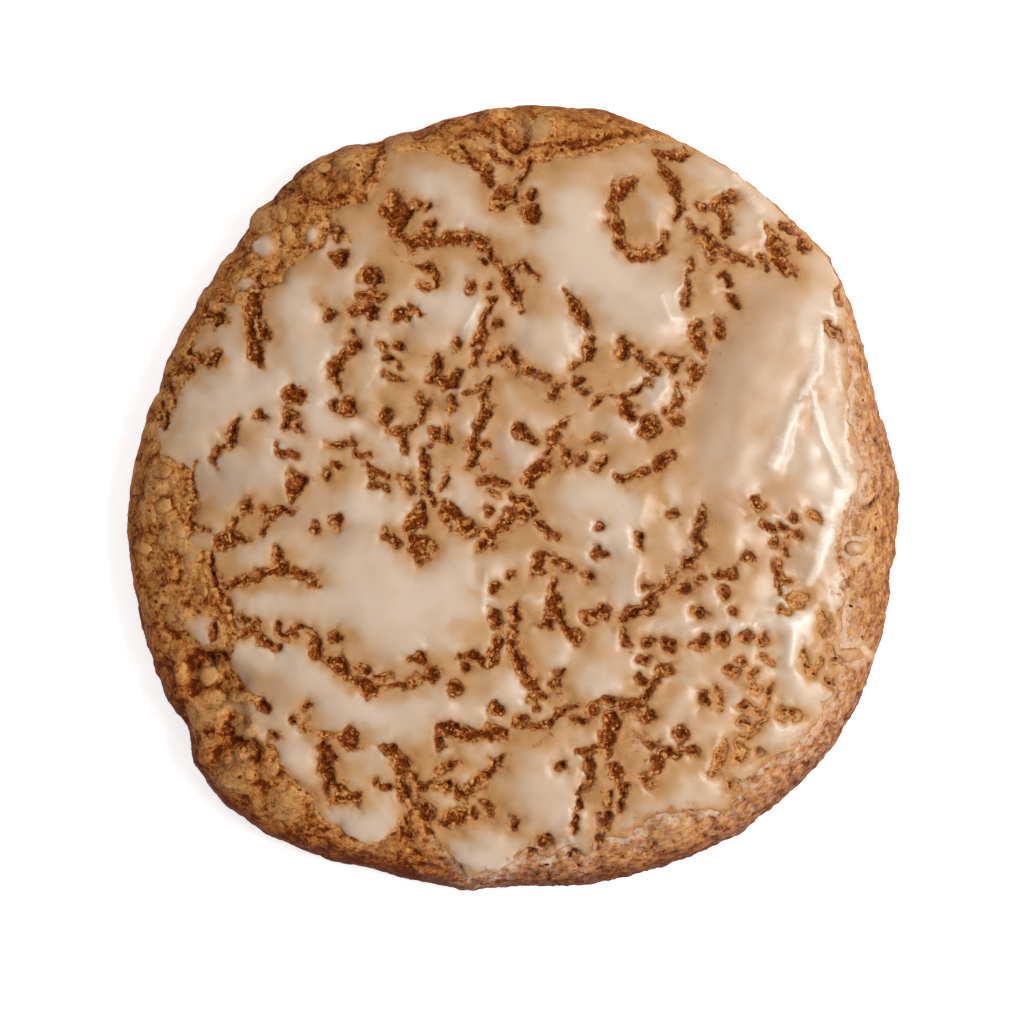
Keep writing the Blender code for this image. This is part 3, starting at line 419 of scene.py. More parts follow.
THIN_AND_SHADED_ZONES_SOFT = (
    (4.5, 34.8, 5.5, 1.6, 0, .7), (-18, 28.5, 1.7, 1.5, 0, .6), (-21.8, 25, 1.4, 1.6, 0, .5),
    (-20.5, 21, 1.1, 1.8, 0, .5), (-11, 26.6, 2, .9, 0, .5), (-9, 36, 2, 1.2, 0, .5),
    (-31.8, 19, 1.3, 1.3, 0, .7), (-34, 12.5, 1.3, 1.2, 0, .5), (-25.4, 17.5, 1.2, 1.6, 0, .4),
    (-23, -2.5, 1.8, 1.5, 0, .5), (-29, -9.2, 2.6, .7, 0, .5), (-24.6, -10, 2, .7, 0, .5),
    (-22.5, -15, 1.6, .8, 30, .5), (-25, -20.3, 3, 1.3, -35, .6), (-12.2, -21, 2.2, .9, 0, .5),
    (-21, -32, 1.6, 1.3, 0, .5), (-5, -36.4, 2, .8, 0, .6), (-2, -33.5, 1.5, 1.3, 0, .5),
    (2.4, -26, 4, 1.1, 0, .7), (11.5, -27, 1.7, 1.2, 0, .5), (15.8, -31.6, 3.4, 1.1, 35, .6),
    (17, -20.8, 1.5, 1.3, 0, .7), (6, -15, 2.6, .8, 0, .5), (9.6, -16.4, 1.8, 1.5, 0, .5),
    (15, -13, 2.6, .7, 20, .5), (5.6, -4.4, 3.2, .7, -10, .6), (6, -8.3, 1.4, .9, 0, .5),
    (18, -7.8, 1.9, .7, 0, .5), (24.5, -9.2, 1.2, 1.1, 0, .5), (15.5, 0, 1, 3, 0, .8),
    (22.8, -1.6, 1.8, 2.3, 0, .9), (29.5, .5, 1.5, 1.4, 0, .6), (10.6, 4, 1.1, 1, 0, .5),
    (6.6, 7.2, .8, 2.2, 0, .5), (1, 12.7, 1, 1, 0, .6), (12.4, 31.6, 1, 1, 0, .5),
    (21.2, 26.8, 1.1, 2.6, 0, .7), (20.6, 14, 1, 1.6, 0, .5), (.4, 33, 1.4, 2.2, -35, .8),
    (3.2, 28.8, 1.6, 1.3, 0, .5), (26.6, 6.8, 1.2, 1.4, 0, .6), (24.4, 34, 1.8, .8, -30, .6),
    (18.8, 11.5, 1, 1.4, 0, .5), (18.6, 7.6, 1.2, 1.1, 0, .5), (10.2, 3.4, 2, 1.1, 0, .6),
    (-1.6, 8.6, .9, 1.6, 0, .6), (-1.8, 4, 1.1, 1, 0, .6), (-.6, .3, 1.4, 1, 0, .6),
    (3.6, .6, 1.2, 1, 0, .6), (2.6, -4.2, 2, .8, -30, .6), (34, -14.2, 1.1, 1.8, 0, .9),
    (31.4, -18.7, 1.6, 1, -20, .9), (33.5, -19.4, 1.4, .8, 0, .8), (32.6, -9.8, 1.8, 1, 20, .8),
    (16, -.5, 1, 2.4, 0, .7), (26.5, 17.5, 3, 3, 0, .5), (30.3, 22.4, 1.6, 1.4, 0, .7),
    (20.7, 14.5, 1, 1.4, 0, .7), (-26.5, -20, 2, 1.4, 0, .6), (-22.5, -31.5, 2, 1.4, 0, .7),
    (12, -27.3, 1.6, 1.2, 0, .7), (14, -31, 1.8, 1, 35, .7), (22.5, -2, 1.8, 2, 0, .6),
    (-18.6, 28.2, 1.6, 1, 0, .9), (-11, 27.2, 2, 1, 0, .9), (24, 15, 7, 9, 0, .25),
    (5.6, -6, 2.4, 4, 0, .25), (3, -30, 2.4, 4, 0, .3), (2.4, 18, 2.4, 3, 0, .35),
    (-39, -12, 2, 9, 0, .5), (21.4, 26.4, 1.2, 2.2, 0, .8), (31.4, 7.4, .8, 1.8, 0, .8),
    (27, -17.4, 1, 1.2, 0, .6), (-9.4, -5.8, 1.6, 1.5, 0, .9), (18.4, -7.8, 1.8, .8, 0, .8),
    (-8.2, -3.8, .9, 2, 0, .7), (21, 21.5, 1, 1.6, 0, .6), (18.4, -29, 2, 1.4, 20, .7),
    (-13, 23.4, 1.4, 1.2, 0, .5), (-14, 33, 1.4, 1.4, 0, .5), (-20, 11.5, 1.6, 1, 0, .4),
    (23, 12, 2.6, 7, 0, .4),
)
THIN_AND_SHADED_ZONES = THIN_AND_SHADED_ZONES_MIDDLE + THIN_AND_SHADED_ZONES_AROUND + THIN_AND_SHADED_ZONES_SOFT

# Pools where the icing lies thick and cream: middle, half length, half width, turn, how thick.
POOLS = (
    (-7.6, 31.6, 4, 2.8, -20, .8), (6, 29.6, 4.5, 5.6, 0, .8), (8.5, 24.5, 6.5, 3.5, -35, .9),
    (14.5, 20, 4.4, 4.2, 0, 1), (15.7, 31, 1.4, 2.2, 0, .6), (4.4, 17.6, 4.2, 2.9, -20, .9),
    (-6.6, 20.2, 4, 2.8, 10, .9), (-9, 22.6, 2.6, 1.4, 0, .3), (-22.8, 18.4, 2.6, 5, 10, .9),
    (-20.5, 12, 2.4, 3.5, 0, .8), (-19, 26.6, 3, 1.4, 60, .4), (-16, 12.8, 1.6, 3.4, 0, .7),
    (-31.5, 9.8, 4.8, 2.4, 20, .9), (-29.5, 14.5, 2, 3, 0, .7), (-30, 2, 2.8, 2.4, 0, .3),
    (-26, 3.3, 1.4, 4, -20, .6), (-18, 8, 3, 1.8, 0, .6), (-20.5, 5.2, 2, 1.8, 0, .5),
    (-15, -.8, 5, 2.8, -12, .95), (-18.5, -6, 4, 2, -20, .75), (-12, -11, 8.8, 4.8, 0, 1),
    (-26, -12, 5, 1.3, 0, .7), (-27, -6.5, 3.4, 1.5, 20, .7), (-24, -19.3, 6.2, 2.4, -22, .9),
    (-15, -22.8, 5, 2.2, -12, .9), (-9.4, -22.9, 3.6, 1.7, 0, .85), (-22.5, -28, 1.8, 3.2, 0, .6),
    (-16, -34.5, 4, 2.8, 10, .9), (-3.5, -38.4, 3.3, 2.2, 0, 1), (4, -31.8, 3.2, 4.2, 12, 1),
    (-7, -33.4, 1.4, 1.2, 0, .6), (.9, 5.2, 1.7, 3.4, 0, .9), (-8, 2, 4.2, 1.5, -55, .7),
    (-12.2, 5.8, 2.4, 1.2, -65, .7), (-4.8, -1.2, 2.6, 1.6, -20, .6), (10, -1.3, 5, 3.3, 0, .95),
    (11.4, -7.4, 2.6, 4.4, 0, .7), (4, -16.4, 2.6, 2.6, 0, .5), (10, -17.6, 3.2, 3, 0, .65),
    (-1.5, -21.6, 3.6, 1.7, 12, .8), (20, -11.6, 5.2, 2.2, 20, .5), (24.5, -13.9, 7, 1.1, 0, .9),
    (18, -22, 3.4, 3, 30, .75), (16.4, -32.6, 4.2, 1.8, 10, .7), (19.4, -27.4, 1.8, 2.6, -30, .5),
    (28.6, -25.6, 3, 1.9, 20, .9), (29.6, -21, 1.8, 2.4, 0, .7), (30.6, -16, 1.5, 3, 0, .9),
    (27.6, 13.5, 4.6, 8.5, 0, .4), (25, 4, 4, 5, 0, .35), (32.3, 20, 2.8, 5, 15, .9),
    (33, 6, 3, 7, 0, .9), (15.6, 11.4, 1.4, 2.4, 0, .8), (33.5, -3, 2.4, 4, 0, .9),
    (22.6, 33, 3.2, 1.8, -35, .7), (25.6, 29.6, 2.2, 2.6, 0, .6), (17, -1, 1.2, 2.6, 0, .6),
    (24, -2.4, 2, 3, 0, .5), (2, -6.8, 1.4, .8, 0, .5), (26, 25, 2, 2, 0, .5),
    (-5.5, 12, 1, 2.4, 0, .8), (-3.5, 35.5, 1.6, 1.2, 0, .6), (12.6, 12, 1.2, 1.2, 0, .5),
    (-32.6, 7.4, 3, 1.4, 10, .8), (-23.6, 12, 2, 1, 0, .7), (-14, 14.2, 1, 2.2, 0, .9),
    (-14, 5, 1.5, .9, -30, .7), (-4.2, 6.6, 1, 2, 0, .8), (2.4, 7.6, 2, 1, 0, .7),
    (13, 7.6, 2.8, 1.4, 10, .9), (2, -11.4, 2.4, .9, 0, .8), (-4.6, -8.6, .9, 2, 0, .6),
    (-8, -15.8, 3.6, .8, -5, .7), (-19, -36, 2, 1, 0, .6), (.2, -38.6, 2.6, 1.5, 0, .9),
    (5.4, -37, 1.8, 1, 0, .7), (7.4, -34.6, .9, 1.8, 0, .7), (10, -21, 2.2, 1, 0, .9),
    (15.8, -26.6, 1.2, 1, 0, .6), (24.6, -22, 1.4, 1.4, 0, .6), (26, -29.8, 1.8, 1.4, 0, .7),
    (31, -22.4, 2, 1.2, 0, .8), (33.5, -21, 1.6, 1.4, 0, .7), (22.6, -14.2, 2, .8, 0, .9),
    (33.8, -9, 1.8, 3.6, 0, .9), (34.2, -14, 1.6, 2, 0, .7), (35.6, -5.4, 1.4, 1.2, 0, .7),
    (37, 1, 1.2, 2.4, 0, .8), (27.5, 27.5, 1.2, 1.2, 0, .6), (-16.6, 23, 1.4, 2.4, 0, .7),
    (-27.5, 11, 8, 1.4, 22, .9), (-24.6, 2.2, 1.5, 1.5, 0, .9), (-4.6, 29, 1.7, 1.3, 0, .8),
    (-6.2, -1.2, 1.4, .9, -30, .8), (-5, -15.8, 1.6, 1.1, 0, .8), (-10.2, -16, 2.2, 1.2, 0, .9),
    (-13.2, -25.8, 1.6, 1.4, 0, .9), (-7.6, -27.4, 1.2, 1, 0, .7), (28, -2.6, 1.4, .8, 0, .6),
    (9.6, -5, 1.2, 2, 0, .8), (13.4, -11, 1.4, 1, 0, .8), (18, 21.5, .9, 2, 0, .8),
    (34.5, 20, 1, 2.4, 0, .8), (29.6, -12, 1.4, 1.6, 0, .8), (25, -27.4, 1, 1, 0, .5),
    (28.5, -27, 2, .9, 0, .7), (-4, 18.8, 1, 1.8, -20, .9), (-31.6, 7, 2.4, 1.4, 0, .9),
    (-24, 7.4, 10, 5, 20, .4), (-9, -25, 10, 4.5, 0, .3), (31, -12, 3, 11, -8, .5),
    (-16, 21, 3, 6, -20, .3), (-24, 8.4, 9, 2.2, 20, .6), (-18.3, 24.5, 1.2, 1.6, 0, .7),
    (29.5, -12.8, 1.4, 1.2, 0, .9), (32.3, -5.4, 2.4, 1.4, 0, .9), (30.2, -21, 1, 2.4, -15, .9),
    (-26.3, 26.8, 2.2, 1.8, 0, 1), (-28.3, 22.6, 2, 1.6, 0, 1), (-21.2, 28.3, 1.4, 1.6, 0, 1),
    (22.4, 22.2, 1.2, 1.6, 0, .9), (-28.4, -.8, 2, 1, 0, .7), (-30.8, -4, 1, 1.6, 0, .7),
    (-19.5, 14.6, 1.2, 1.2, 0, .8), (-32.4, -16.2, 1.2, 1.4, 0, .6), (-13, -2.6, 2, 1, 0, .8),
    (4.8, -18.4, 1.1, 1, 0, .8), (6.4, -34, 1, 1.8, 0, .7), (28.6, -3.2, 1.6, 1, 0, .8),
    (30, -17.6, 1, 1.2, 0, .8), (-5.8, 28.4, 1.5, 1, 0, .7), (-1.6, 34.3, 1, 1, 0, .7),
)

# Where a cloudy film lies over darker crumb, with painted shade in some places the key light falls
# on: middle, half length, half width, turn, strength.
CLOUDY_AND_SHADED_ZONES = (
    (-31, 2, 3, 2.3, 0, .95), (27.3, 20.8, 1.2, 1.2, 0, .5), (29, -1, 1.2, 1.2, 0, .5),
    (30, -8, 1.2, 1.8, 0, .6), (-17.4, -4.6, 2, 1.4, 0, .8), (-23.2, -2.2, 2, 1.7, 0, .7),
    (7.6, -37.5, 1.6, 1.8, 0, .6), (-27.5, -23.4, 2.2, 1.4, 0, .6), (-33, -4.4, 1.6, 1, 0, .5),
    (-30.5, -12, 1.6, 1.6, 0, .4), (23.2, 12, 2.6, 6.5, -8, .9), (22, 4.5, 2.4, 4, 0, .6),
    (27.6, 18, 3, 6, -15, .55), (22.8, -1.4, 1.8, 2, 0, .5), (-25.4, -20.4, 2.6, 1.2, -35, .4),
    (-23.5, -18.5, 2, 2, 0, .5), (32.5, -6, 1.6, 1.6, 0, .4), (27, -13, 2, 2, 0, .3),
    (1.5, 4.6, 1.4, 1.4, 0, .4), (-17.5, 15.8, 1, 1, 0, .6), (-11, 18, 1.6, 1.8, 0, .6),
    (1.5, 16.3, 1.2, 1.2, 0, .6), (8.8, 20.6, .8, 1.6, -40, .6), (10.8, 18.2, 2.6, .9, -45, .5),
    (6.3, 7.5, .9, .9, 0, .6), (-13, -17.3, 1.8, .6, 0, .6), (-8.3, -6.3, 1.5, 1.5, 0, .5),
    (11.3, -5.7, 1.2, 1.2, 0, .6), (12, -8.5, 2, 2, 0, .35), (19.4, -6.2, 1.6, .8, 50, .6),
    (18, 8.3, .8, .8, 0, .6), (16, 24, 3, 2, 0, .2), (30, 3, 2, 3, 0, .2),
    (-2, -36.5, 2, 1.2, 0, .3), (14.5, 19.5, 3, 1.2, -20, .3),
)

# Cream smears of icing on the rim: middle, half length, half width, turn, strength.
CREAM_ZONES = (
    (35, -9.4, 1.2, 2.2, 0, .9), (36.8, -5.8, 1, 1.4, 0, .8), (37.3, -17, 1.8, .9, 0, .8),
    (34.7, -15.6, 1.4, 1, 0, .8), (35.6, -12.5, .8, 1.6, 0, .7), (37.2, 1, .9, 2.4, 0, .6),
    (37, 7.5, .8, 3, 0, .5), (32.6, -23.4, 1.2, 1.2, 0, .5), (26, -33, 2, .8, 35, .35),
    (14.5, -37.6, 2, .6, 20, .35), (6, -39.8, 2, .6, 0, .3),
)

# White streaks where the icing has dried to fine sugar, painted in as highlights along its glossy
# ridges: half width, strength, then the way they run.
PAINTED_HIGHLIGHT_STREAKS = (
    (.3, .9, (33.1, 18), (33.1, 15), (32.9, 13)), (.5, .6, (32.8, 16.5), (32.3, 13.6), (32, 12.4)),
    (.55, .9, (32.4, 13), (31.8, 12), (31.3, 11.3)), (.25, .9, (31.3, 11.5), (30.7, 10.3)),
    (.5, .8, (30.4, 9.5), (29.9, 8), (29.3, 6)), (1, .8, (29.2, 5.8), (28.8, 4.3), (28.2, 3.4)),
    (.3, .9, (32.3, 11), (32.5, 9.6)), (.6, .95, (32.6, 9), (33.2, 7), (34, 5)),
    (.6, .8, (34, 5), (34.8, 3.2), (35.5, 1.5)), (1.1, .8, (35.5, 1.8), (36, .3), (35.2, -.8)),
    (.35, .8, (35.9, 9.5), (35.7, 6), (35.9, 4), (36.3, 3.6)), (.5, .5, (34.4, 21), (34.4, 18.6)),
    (.4, .5, (34.6, 15.5), (35.1, 11.5)), (.9, .95, (34, -1.3), (33.8, -3.5), (33.1, -6)),
    (.6, .95, (33.3, -5.5), (32.6, -7.8), (32, -9.2)), (.9, .7, (35, -8.6), (34.8, -10.2)),
    (.8, .5, (34.8, -10.5), (34.4, -12)), (1.2, .8, (30.2, -13.5), (31.5, -13)),
    (.5, .6, (30.1, -15), (29.8, -18)), (.7, .5, (24, 34), (26.6, 30.4)),
    (.5, .5, (26.6, 29), (27.8, 26)), (.35, .5, (-2.6, -8.5), (-2.8, -12.5)),
    (.3, .6, (8.1, -29), (7.2, -31.2), (7, -33), (6.6, -35.5)),
    (.4, .5, (22.2, -26.2), (20.6, -30.2)), (.3, .5, (16.9, 13), (16.7, 11.5), (15.4, 9.8)),
    (.3, .25, (-14.9, 16.8), (-13.8, 13.8), (-15.3, 11.7)), (.3, .3, (13.9, -5.5), (13.8, -10.8)),
    (.6, .15, (14, -14.4), (22, -14.5), (29, -14.3)), (.25, .6, (-3.4, 20.4), (-4.8, 17.9)),
    (.25, .5, (16.2, 21.3), (17, 19.2)),
)

# Raised folds and pool rims of the icing: half width, height, then the way they run.
RIDGES = (
    (.9, .35, (-2.4, -7.6), (-2.6, -12)),
    (.7, .22, (8, -28), (8.2, -30), (7.1, -31.3), (7, -33), (7.1, -34.3), (6.3, -36)),
    (.8, .1, (30, -14.5), (30, -19)), (.7, .3, (-6.3, -21.4), (-7.7, -23.6)),
    (.9, .4, (22.3, -26), (20.5, -30.5)), (.8, .18, (12, -14.6), (30, -14.8)),
    (.6, .4, (33, 18), (32.9, 13.5), (31.8, 11.8)), (.6, .4, (31.5, 11.8), (30.4, 9.4), (29, 5)),
    (1, .35, (29, 5), (28, 3)), (.6, .45, (32.2, 11), (33, 7), (34.2, 4), (35.4, 1.5)),
    (.5, .3, (35.8, 9.5), (35.6, 6), (36, 3.6)), (.5, .25, (34.4, 18), (35, 11.5)),
    (1.1, .3, (35.4, 1.5), (34, -2), (33.2, -6), (32, -9.2)), (.9, .3, (35, -8.7), (34.6, -11.5)),
    (1.1, .2, (30, -13.4), (31.6, -12.8)), (.5, .25, (30, -15.5), (29.7, -18)),
    (.8, .3, (24, 34), (26.8, 30)), (.6, .25, (26.6, 29), (27.8, 26)),
    (.8, .3, (15.5, 30.4), (15.3, 29)), (.6, .25, (31.3, 10), (30.8, 6.5)),
    (.6, .2, (-5.5, -36.3), (-1.5, -36.5)), (.6, .2, (-15.5, -33), (-14, -33.2)),
    (.7, .1, (-18.3, 20), (-18.5, 12)), (.8, .2, (-14.8, 17), (-13.6, 13.8), (-15.5, 11.5)),
    (.7, .25, (-15, 9.5), (-12.5, 6.5), (-11, 4.8)), (.6, .25, (16.8, 13), (16.8, 11.5), (15, 9.5)),
    (.9, .3, (14.2, 0), (13.6, -6), (13.6, -11)), (.6, .25, (16.2, 21.3), (17.1, 19)),
    (.6, .25, (-3.5, 20.3), (-4.9, 18)),
)


# ---------------------------------------------------------------- forms

def smooth_step(value):
    """Rise from 0 to 1 with no corner, for a value between 0 and 1."""
    value = np.clip(value, 0.0, 1.0)
    return value * value * (3.0 - 2.0 * value)


def swirl(points, pitch, octaves=1, shift=0.0):
    """Smooth random values, about -1 to 1, one for each point."""
    offset = Vector((shift, 1.7 * shift, -shift))
    return np.array([noise.fractal(Vector(point) / pitch + offset, 0.9, 2.0, octaves)
                     for point in points])


def as_seen(points):
    """Plan places as the photograph shows them, which is how the tables were read."""
    rise = points[:, 2] - AIM_HEIGHT
    scale = 1.0 + rise / CAMERA_DISTANCE
    return points[:, 0] * scale, points[:, 1] * scale + math.cos(CAMERA_ELEVATION) * rise


def lower_right(x, y, width):
    """0 over most of the cookie, rising to 1 over a width at the lower right."""
    return smooth_step((0.8 * x - 0.6 * y - 8.0) / width)


def rim_radius(degrees):
    """Distance from the axis to the widest line in each direction."""
    radius = np.full(degrees.shape, MEAN_RADIUS)
    for direction, half_width, reach in RIM_LOBES:
        turn = (degrees - direction + 180.0) % 360.0 - 180.0
        radius += reach * np.exp(-(turn / half_width) ** 2)
    return radius


def outline_inset(degrees):
    """Distance from the rim in to the icing's edge in each direction."""
    directions = [row[0] for row in ICING_OUTLINE] + [360]
    insets = [row[1] for row in ICING_OUTLINE] + [ICING_OUTLINE[0][1]]
    return np.interp(degrees, directions, insets)


def inside_outline(x, y):
    """Distance in from the icing's outline, less than 0 outside it."""
    degrees = np.degrees(np.arctan2(y, x)) % 360.0
    return rim_radius(degrees) - outline_inset(degrees) - np.hypot(x, y)


def run_distance(x, y, half_width, stations, taper=1.0):
    """Distance to a band that follows the stations, less than 0 inside it."""
    nearest = np.full(x.shape, np.inf)
    last = len(stations) - 2
    for number, ((x0, y0), (x1, y1)) in enumerate(zip(stations, stations[1:])):
        across, along = x1 - x0, y1 - y0
        share = ((x - x0) * across + (y - y0) * along) / (across ** 2 + along ** 2)
        share = np.clip(share, 0.0, 1.0)
        start = half_width * (taper if number == 0 and last else 1.0)
        end = half_width * (taper if number == last and last else 1.0)
        gap = np.hypot(x - x0 - share * across, y - y0 - share * along)
        nearest = np.minimum(nearest, gap - start - (end - start) * share)
    return nearest


def oval_shares(x, y, middle_x, middle_y, half_length, half_width, turn):
    """Places as shares of an oval's half length and half width."""
    cosine, sine = math.cos(math.radians(turn)), math.sin(math.radians(turn))
    along = ((x - middle_x) * cosine + (y - middle_y) * sine) / half_length
    across = ((y - middle_y) * cosine - (x - middle_x) * sine) / half_width
    return along, across


def oval_distance(x, y, *oval):
    """Rough distance to an oval, less than 0 inside it."""
    return (np.hypot(*oval_shares(x, y, *oval)) - 1.0) * min(oval[2:4])


def gap_distance(x, y):
    """Distance to the nearest crack, pit or bare patch, up to GAP_REACH."""
    nearest = np.full(x.shape, GAP_REACH)
    flat = np.stack((x, y, 0.0 * x), axis=1)
    vary = np.clip(CRACK_WIDTH + CRACK_WIDTH_SWING * swirl(flat, CRACK_WIDTH_PITCH, 2, 91.0),
                   NARROWEST, WIDEST)
    for half_width, *stations in CRACKS:
        xs, ys = zip(*stations)
        box = GAP_REACH + 2.0 * half_width
        near = ((x > min(xs) - box) & (x < max(xs) + box)
                & (y > min(ys) - box) & (y < max(ys) + box))
        nearest[near] = np.minimum(nearest[near], run_distance(
            x[near], y[near], half_width * vary[near], stations, CRACK_TAPER))
    for middle_x, middle_y, radius in PITS:
        nearest = np.minimum(nearest, np.hypot(x - middle_x, y - middle_y) - radius)
    for row in BARE_PATCHES:
        nearest = np.minimum(nearest, oval_distance(x, y, *row))
    return nearest


def wavering(points, reach, pitch, octaves, shift_x, shift_y):
    """Plan places as seen, pushed about by smooth noise."""
    x, y = as_seen(points)
    return (x + reach * swirl(points, pitch, octaves, shift_x),
            y + reach * swirl(points, pitch, octaves, shift_y))


def zone_sum(points, zones):
    """Soft ovals with wavering outlines laid over each other, 0 to 1."""
    x, y = wavering(points, ZONE_WAVER, ZONE_PITCH, 2, 61.0, 83.0)
    total = np.zeros(x.shape)
    for *oval, strength in zones:
        along, across = oval_shares(x, y, *oval)
        away = along ** 2 + across ** 2
        ink = strength * np.exp(-ZONE_FADE * away ** ZONE_POWER)
        total = 1.0 - (1.0 - total) * (1.0 - ink)
    return total


def ragged(points):
    """Plan places pushed about a little, so that cracks run unevenly."""
    return wavering(points, RAGGED_REACH, RAGGED_PITCH, 3, 11.0, 37.0)


def gap_field(points):
    """Distance to the cracks with their uneven edges."""
    x, y = ragged(points)
    return gap_distance(x, y) + GAP_ROUGH * swirl(points, GAP_ROUGH_PITCH, 3, 5.0) - GAP_WIDENED


def icing_cover(points, gaps):
    """Distance inside the icing's outline, less than 0 on bare crust."""
    x, y = ragged(points)
    cover = inside_outline(x, y)
    for dab in ICING_DABS:
        cover = np.maximum(cover, -oval_distance(x, y, *dab))
    cover = np.minimum(cover, gaps)
    return np.minimum(cover, points[:, 2] - ICING_LOWEST)


def profile():
    """The half section from the top's middle to the foot: radius share and height."""
    rise = THICKNESS - WIDEST_HEIGHT
    power = 2.0 / SHOULDER_POWER
    turn = np.linspace(0.0, math.pi / 2, SECTION_STEPS)
    top_share = np.sin(turn) ** power
    top_height = WIDEST_HEIGHT + rise * np.cos(turn).clip(0.0) ** power
    low_share = 1.0 - FOOT_INSET / MEAN_RADIUS * (1.0 - np.cos(turn))
    low_height = WIDEST_HEIGHT * (1.0 - np.sin(turn))
    share = np.concatenate([top_share, low_share[1:]])
    height = np.concatenate([top_height, low_height[1:]])
    return share, height


SECTION_SHARE, SECTION_HEIGHT = profile()
SECTION_RUN = np.concatenate([[0.0], np.cumsum(np.hypot(
    np.diff(SECTION_SHARE * MEAN_RADIUS), np.diff(SECTION_HEIGHT)))])
SECTION_RUN /= SECTION_RUN[-1]


def ring_place(flat):
    """Ring share and direction of the flat hexagon's points."""
    sixth = math.pi / 3
    turn = np.arctan2(flat[:, 1], flat[:, 0]) % (2 * math.pi)
    sector = np.floor(turn / sixth + 1e-9) % 6
    inner = turn - sector * sixth
    length = np.hypot(flat[:, 0], flat[:, 1])
    share = length * np.cos(inner - sixth / 2) / math.cos(sixth / 2)
    along = 0.5 + np.tan(inner - sixth / 2) / (2 * math.tan(sixth / 2))
    return share, (sector + along) * sixth


def mound(flat):
    """Points of the plain mound over the flat hexagon."""
    share, direction = ring_place(flat)
    radius = rim_radius(np.degrees(direction) % 360.0) * np.interp(
        share, SECTION_RUN, SECTION_SHARE)
    return np.stack([radius * np.cos(direction), radius * np.sin(direction),
                     np.interp(share, SECTION_RUN, SECTION_HEIGHT)], axis=1)


def face_normals(points, faces):
    """The faces' normals, as long as twice their areas."""
    a, b, c = points[faces[:, 0]], points[faces[:, 1]], points[faces[:, 2]]
    return np.cross(b - a, c - a)


def point_normals(points, faces):
    """Outward normals of a surface at its points."""
    across = face_normals(points, faces)
    total = np.zeros(points.shape)
    for corner in range(3):
        np.add.at(total, faces[:, corner], across)
    return total / np.maximum(np.linalg.norm(total, axis=1), 1e-12)[:, None]


# ---------------------------------------------------------------- meshes as arrays

def hexagon(rings):
    """A flat hexagon of even triangles: its points and faces."""
    number = {}
    for i in range(-rings, rings + 1):
        for j in range(-rings, rings + 1):
            if abs(i + j) <= rings:
                number[i, j] = len(number)
    flat = np.array([((i + j / 2) / rings, j * math.sqrt(0.75) / rings) for i, j in number])
    faces = []
    for i, j in number:
        for corners in (((i, j), (i + 1, j), (i, j + 1)), ((i + 1, j), (i + 1, j + 1), (i, j + 1))):
            if all(corner in number for corner in corners):
                faces.append([number[corner] for corner in corners])
    return flat, np.array(faces)


def edges_of(faces):
    """The edges once each, and the three edge numbers of every face."""
    pairs = np.sort(faces[:, [0, 1, 1, 2, 2, 0]].reshape(-1, 2), axis=1)
    edges, number = np.unique(pairs, axis=0, return_inverse=True)
    return edges, number.reshape(-1, 3)


def edge_uses(faces):
    """The edges, the edge numbers of every face, and how many faces use each edge."""
    edges, number = edges_of(faces)
    return edges, number, np.bincount(number.ravel(), minlength=len(edges))


def refine(flat, faces, marked):
    """Quarter the marked triangles, and split their neighbours to match."""
    edges, number = edges_of(faces)
    split = np.zeros(len(edges), bool)
    split[number[marked].ravel()] = True
    while True:
        two = split[number].sum(axis=1) == 2
        if not two.any():
            break
        split[number[two].ravel()] = True
    fresh = np.full(len(edges), -1)
    fresh[split] = len(flat) + np.arange(split.sum())
    flat = np.vstack([flat, flat[edges[split]].mean(axis=1)])
    count = split[number].sum(axis=1)
    parts = [faces[count == 0]]
    a, b, c = faces[count == 3].T
    ab, bc, ca = fresh[number[count == 3]].T
    for corners in ((a, ab, ca), (ab, b, bc), (ca, bc, c), (ab, bc, ca)):
        parts.append(np.stack(corners, axis=1))
    for side in range(3):
        chosen = (count == 1) & split[number[:, side]]
        a, b, c = np.roll(faces[chosen], -side, axis=1).T
        middle = fresh[number[chosen, side]]
        parts.append(np.stack((a, middle, c), axis=1))
        parts.append(np.stack((middle, b, c), axis=1))
    return flat, np.vstack(parts)


def averaged(values, edges, rounds, own=0.4, others=0.6):
    """Each point's value, averaged with its neighbours' some rounds over."""
    count = np.bincount(edges.ravel(), minlength=len(values))
    for _ in range(rounds):
        total = (np.bincount(edges[:, 0], values[edges[:, 1]], len(values))
                 + np.bincount(edges[:, 1], values[edges[:, 0]], len(values)))
        values = own * values + others * total / np.maximum(count, 1)
    return values


def cut_to_cover(flat, faces, cover):
    """Keep the part of a surface where cover is above 0, with its edge on the line."""
    edges, number = edges_of(faces)
    crossing = cover[edges[:, 0]] * cover[edges[:, 1]] < 0
    share = cover[edges[crossing, 0]] / (cover[edges[crossing, 0]] - cover[edges[crossing, 1]])
    start, end = flat[edges[crossing, 0]], flat[edges[crossing, 1]]
    fresh = np.full(len(edges), -1)
    fresh[crossing] = len(flat) + np.arange(crossing.sum())
    flat = np.vstack([flat, start + share[:, None] * (end - start)])
    inside = cover[faces] > 0
    outside = cover[faces] < 0
    count = inside.sum(axis=1)
    parts = [faces[(count > 0) & ~outside.any(axis=1)]]
    for side in range(3):
        order = np.roll(np.arange(3), -side)
        cut = fresh[number]
        one = (count == 1) & inside[:, side] & outside.any(axis=1)
        a, b, c = faces[one][:, order].T
        ab, ca = cut[one, side], cut[one, (side + 2) % 3]
        ab = np.where(ab < 0, b, ab)
        ca = np.where(ca < 0, c, ca)
        parts.append(np.stack((a, ab, ca), axis=1))
        two = (count == 2) & outside[:, side]
        a, b, c = faces[two][:, order].T
        ab, ca = cut[two, side], cut[two, (side + 2) % 3]
        parts.append(np.stack((ab, b, c), axis=1))
        parts.append(np.stack((ab, c, ca), axis=1))
    return flat, np.vstack(parts)


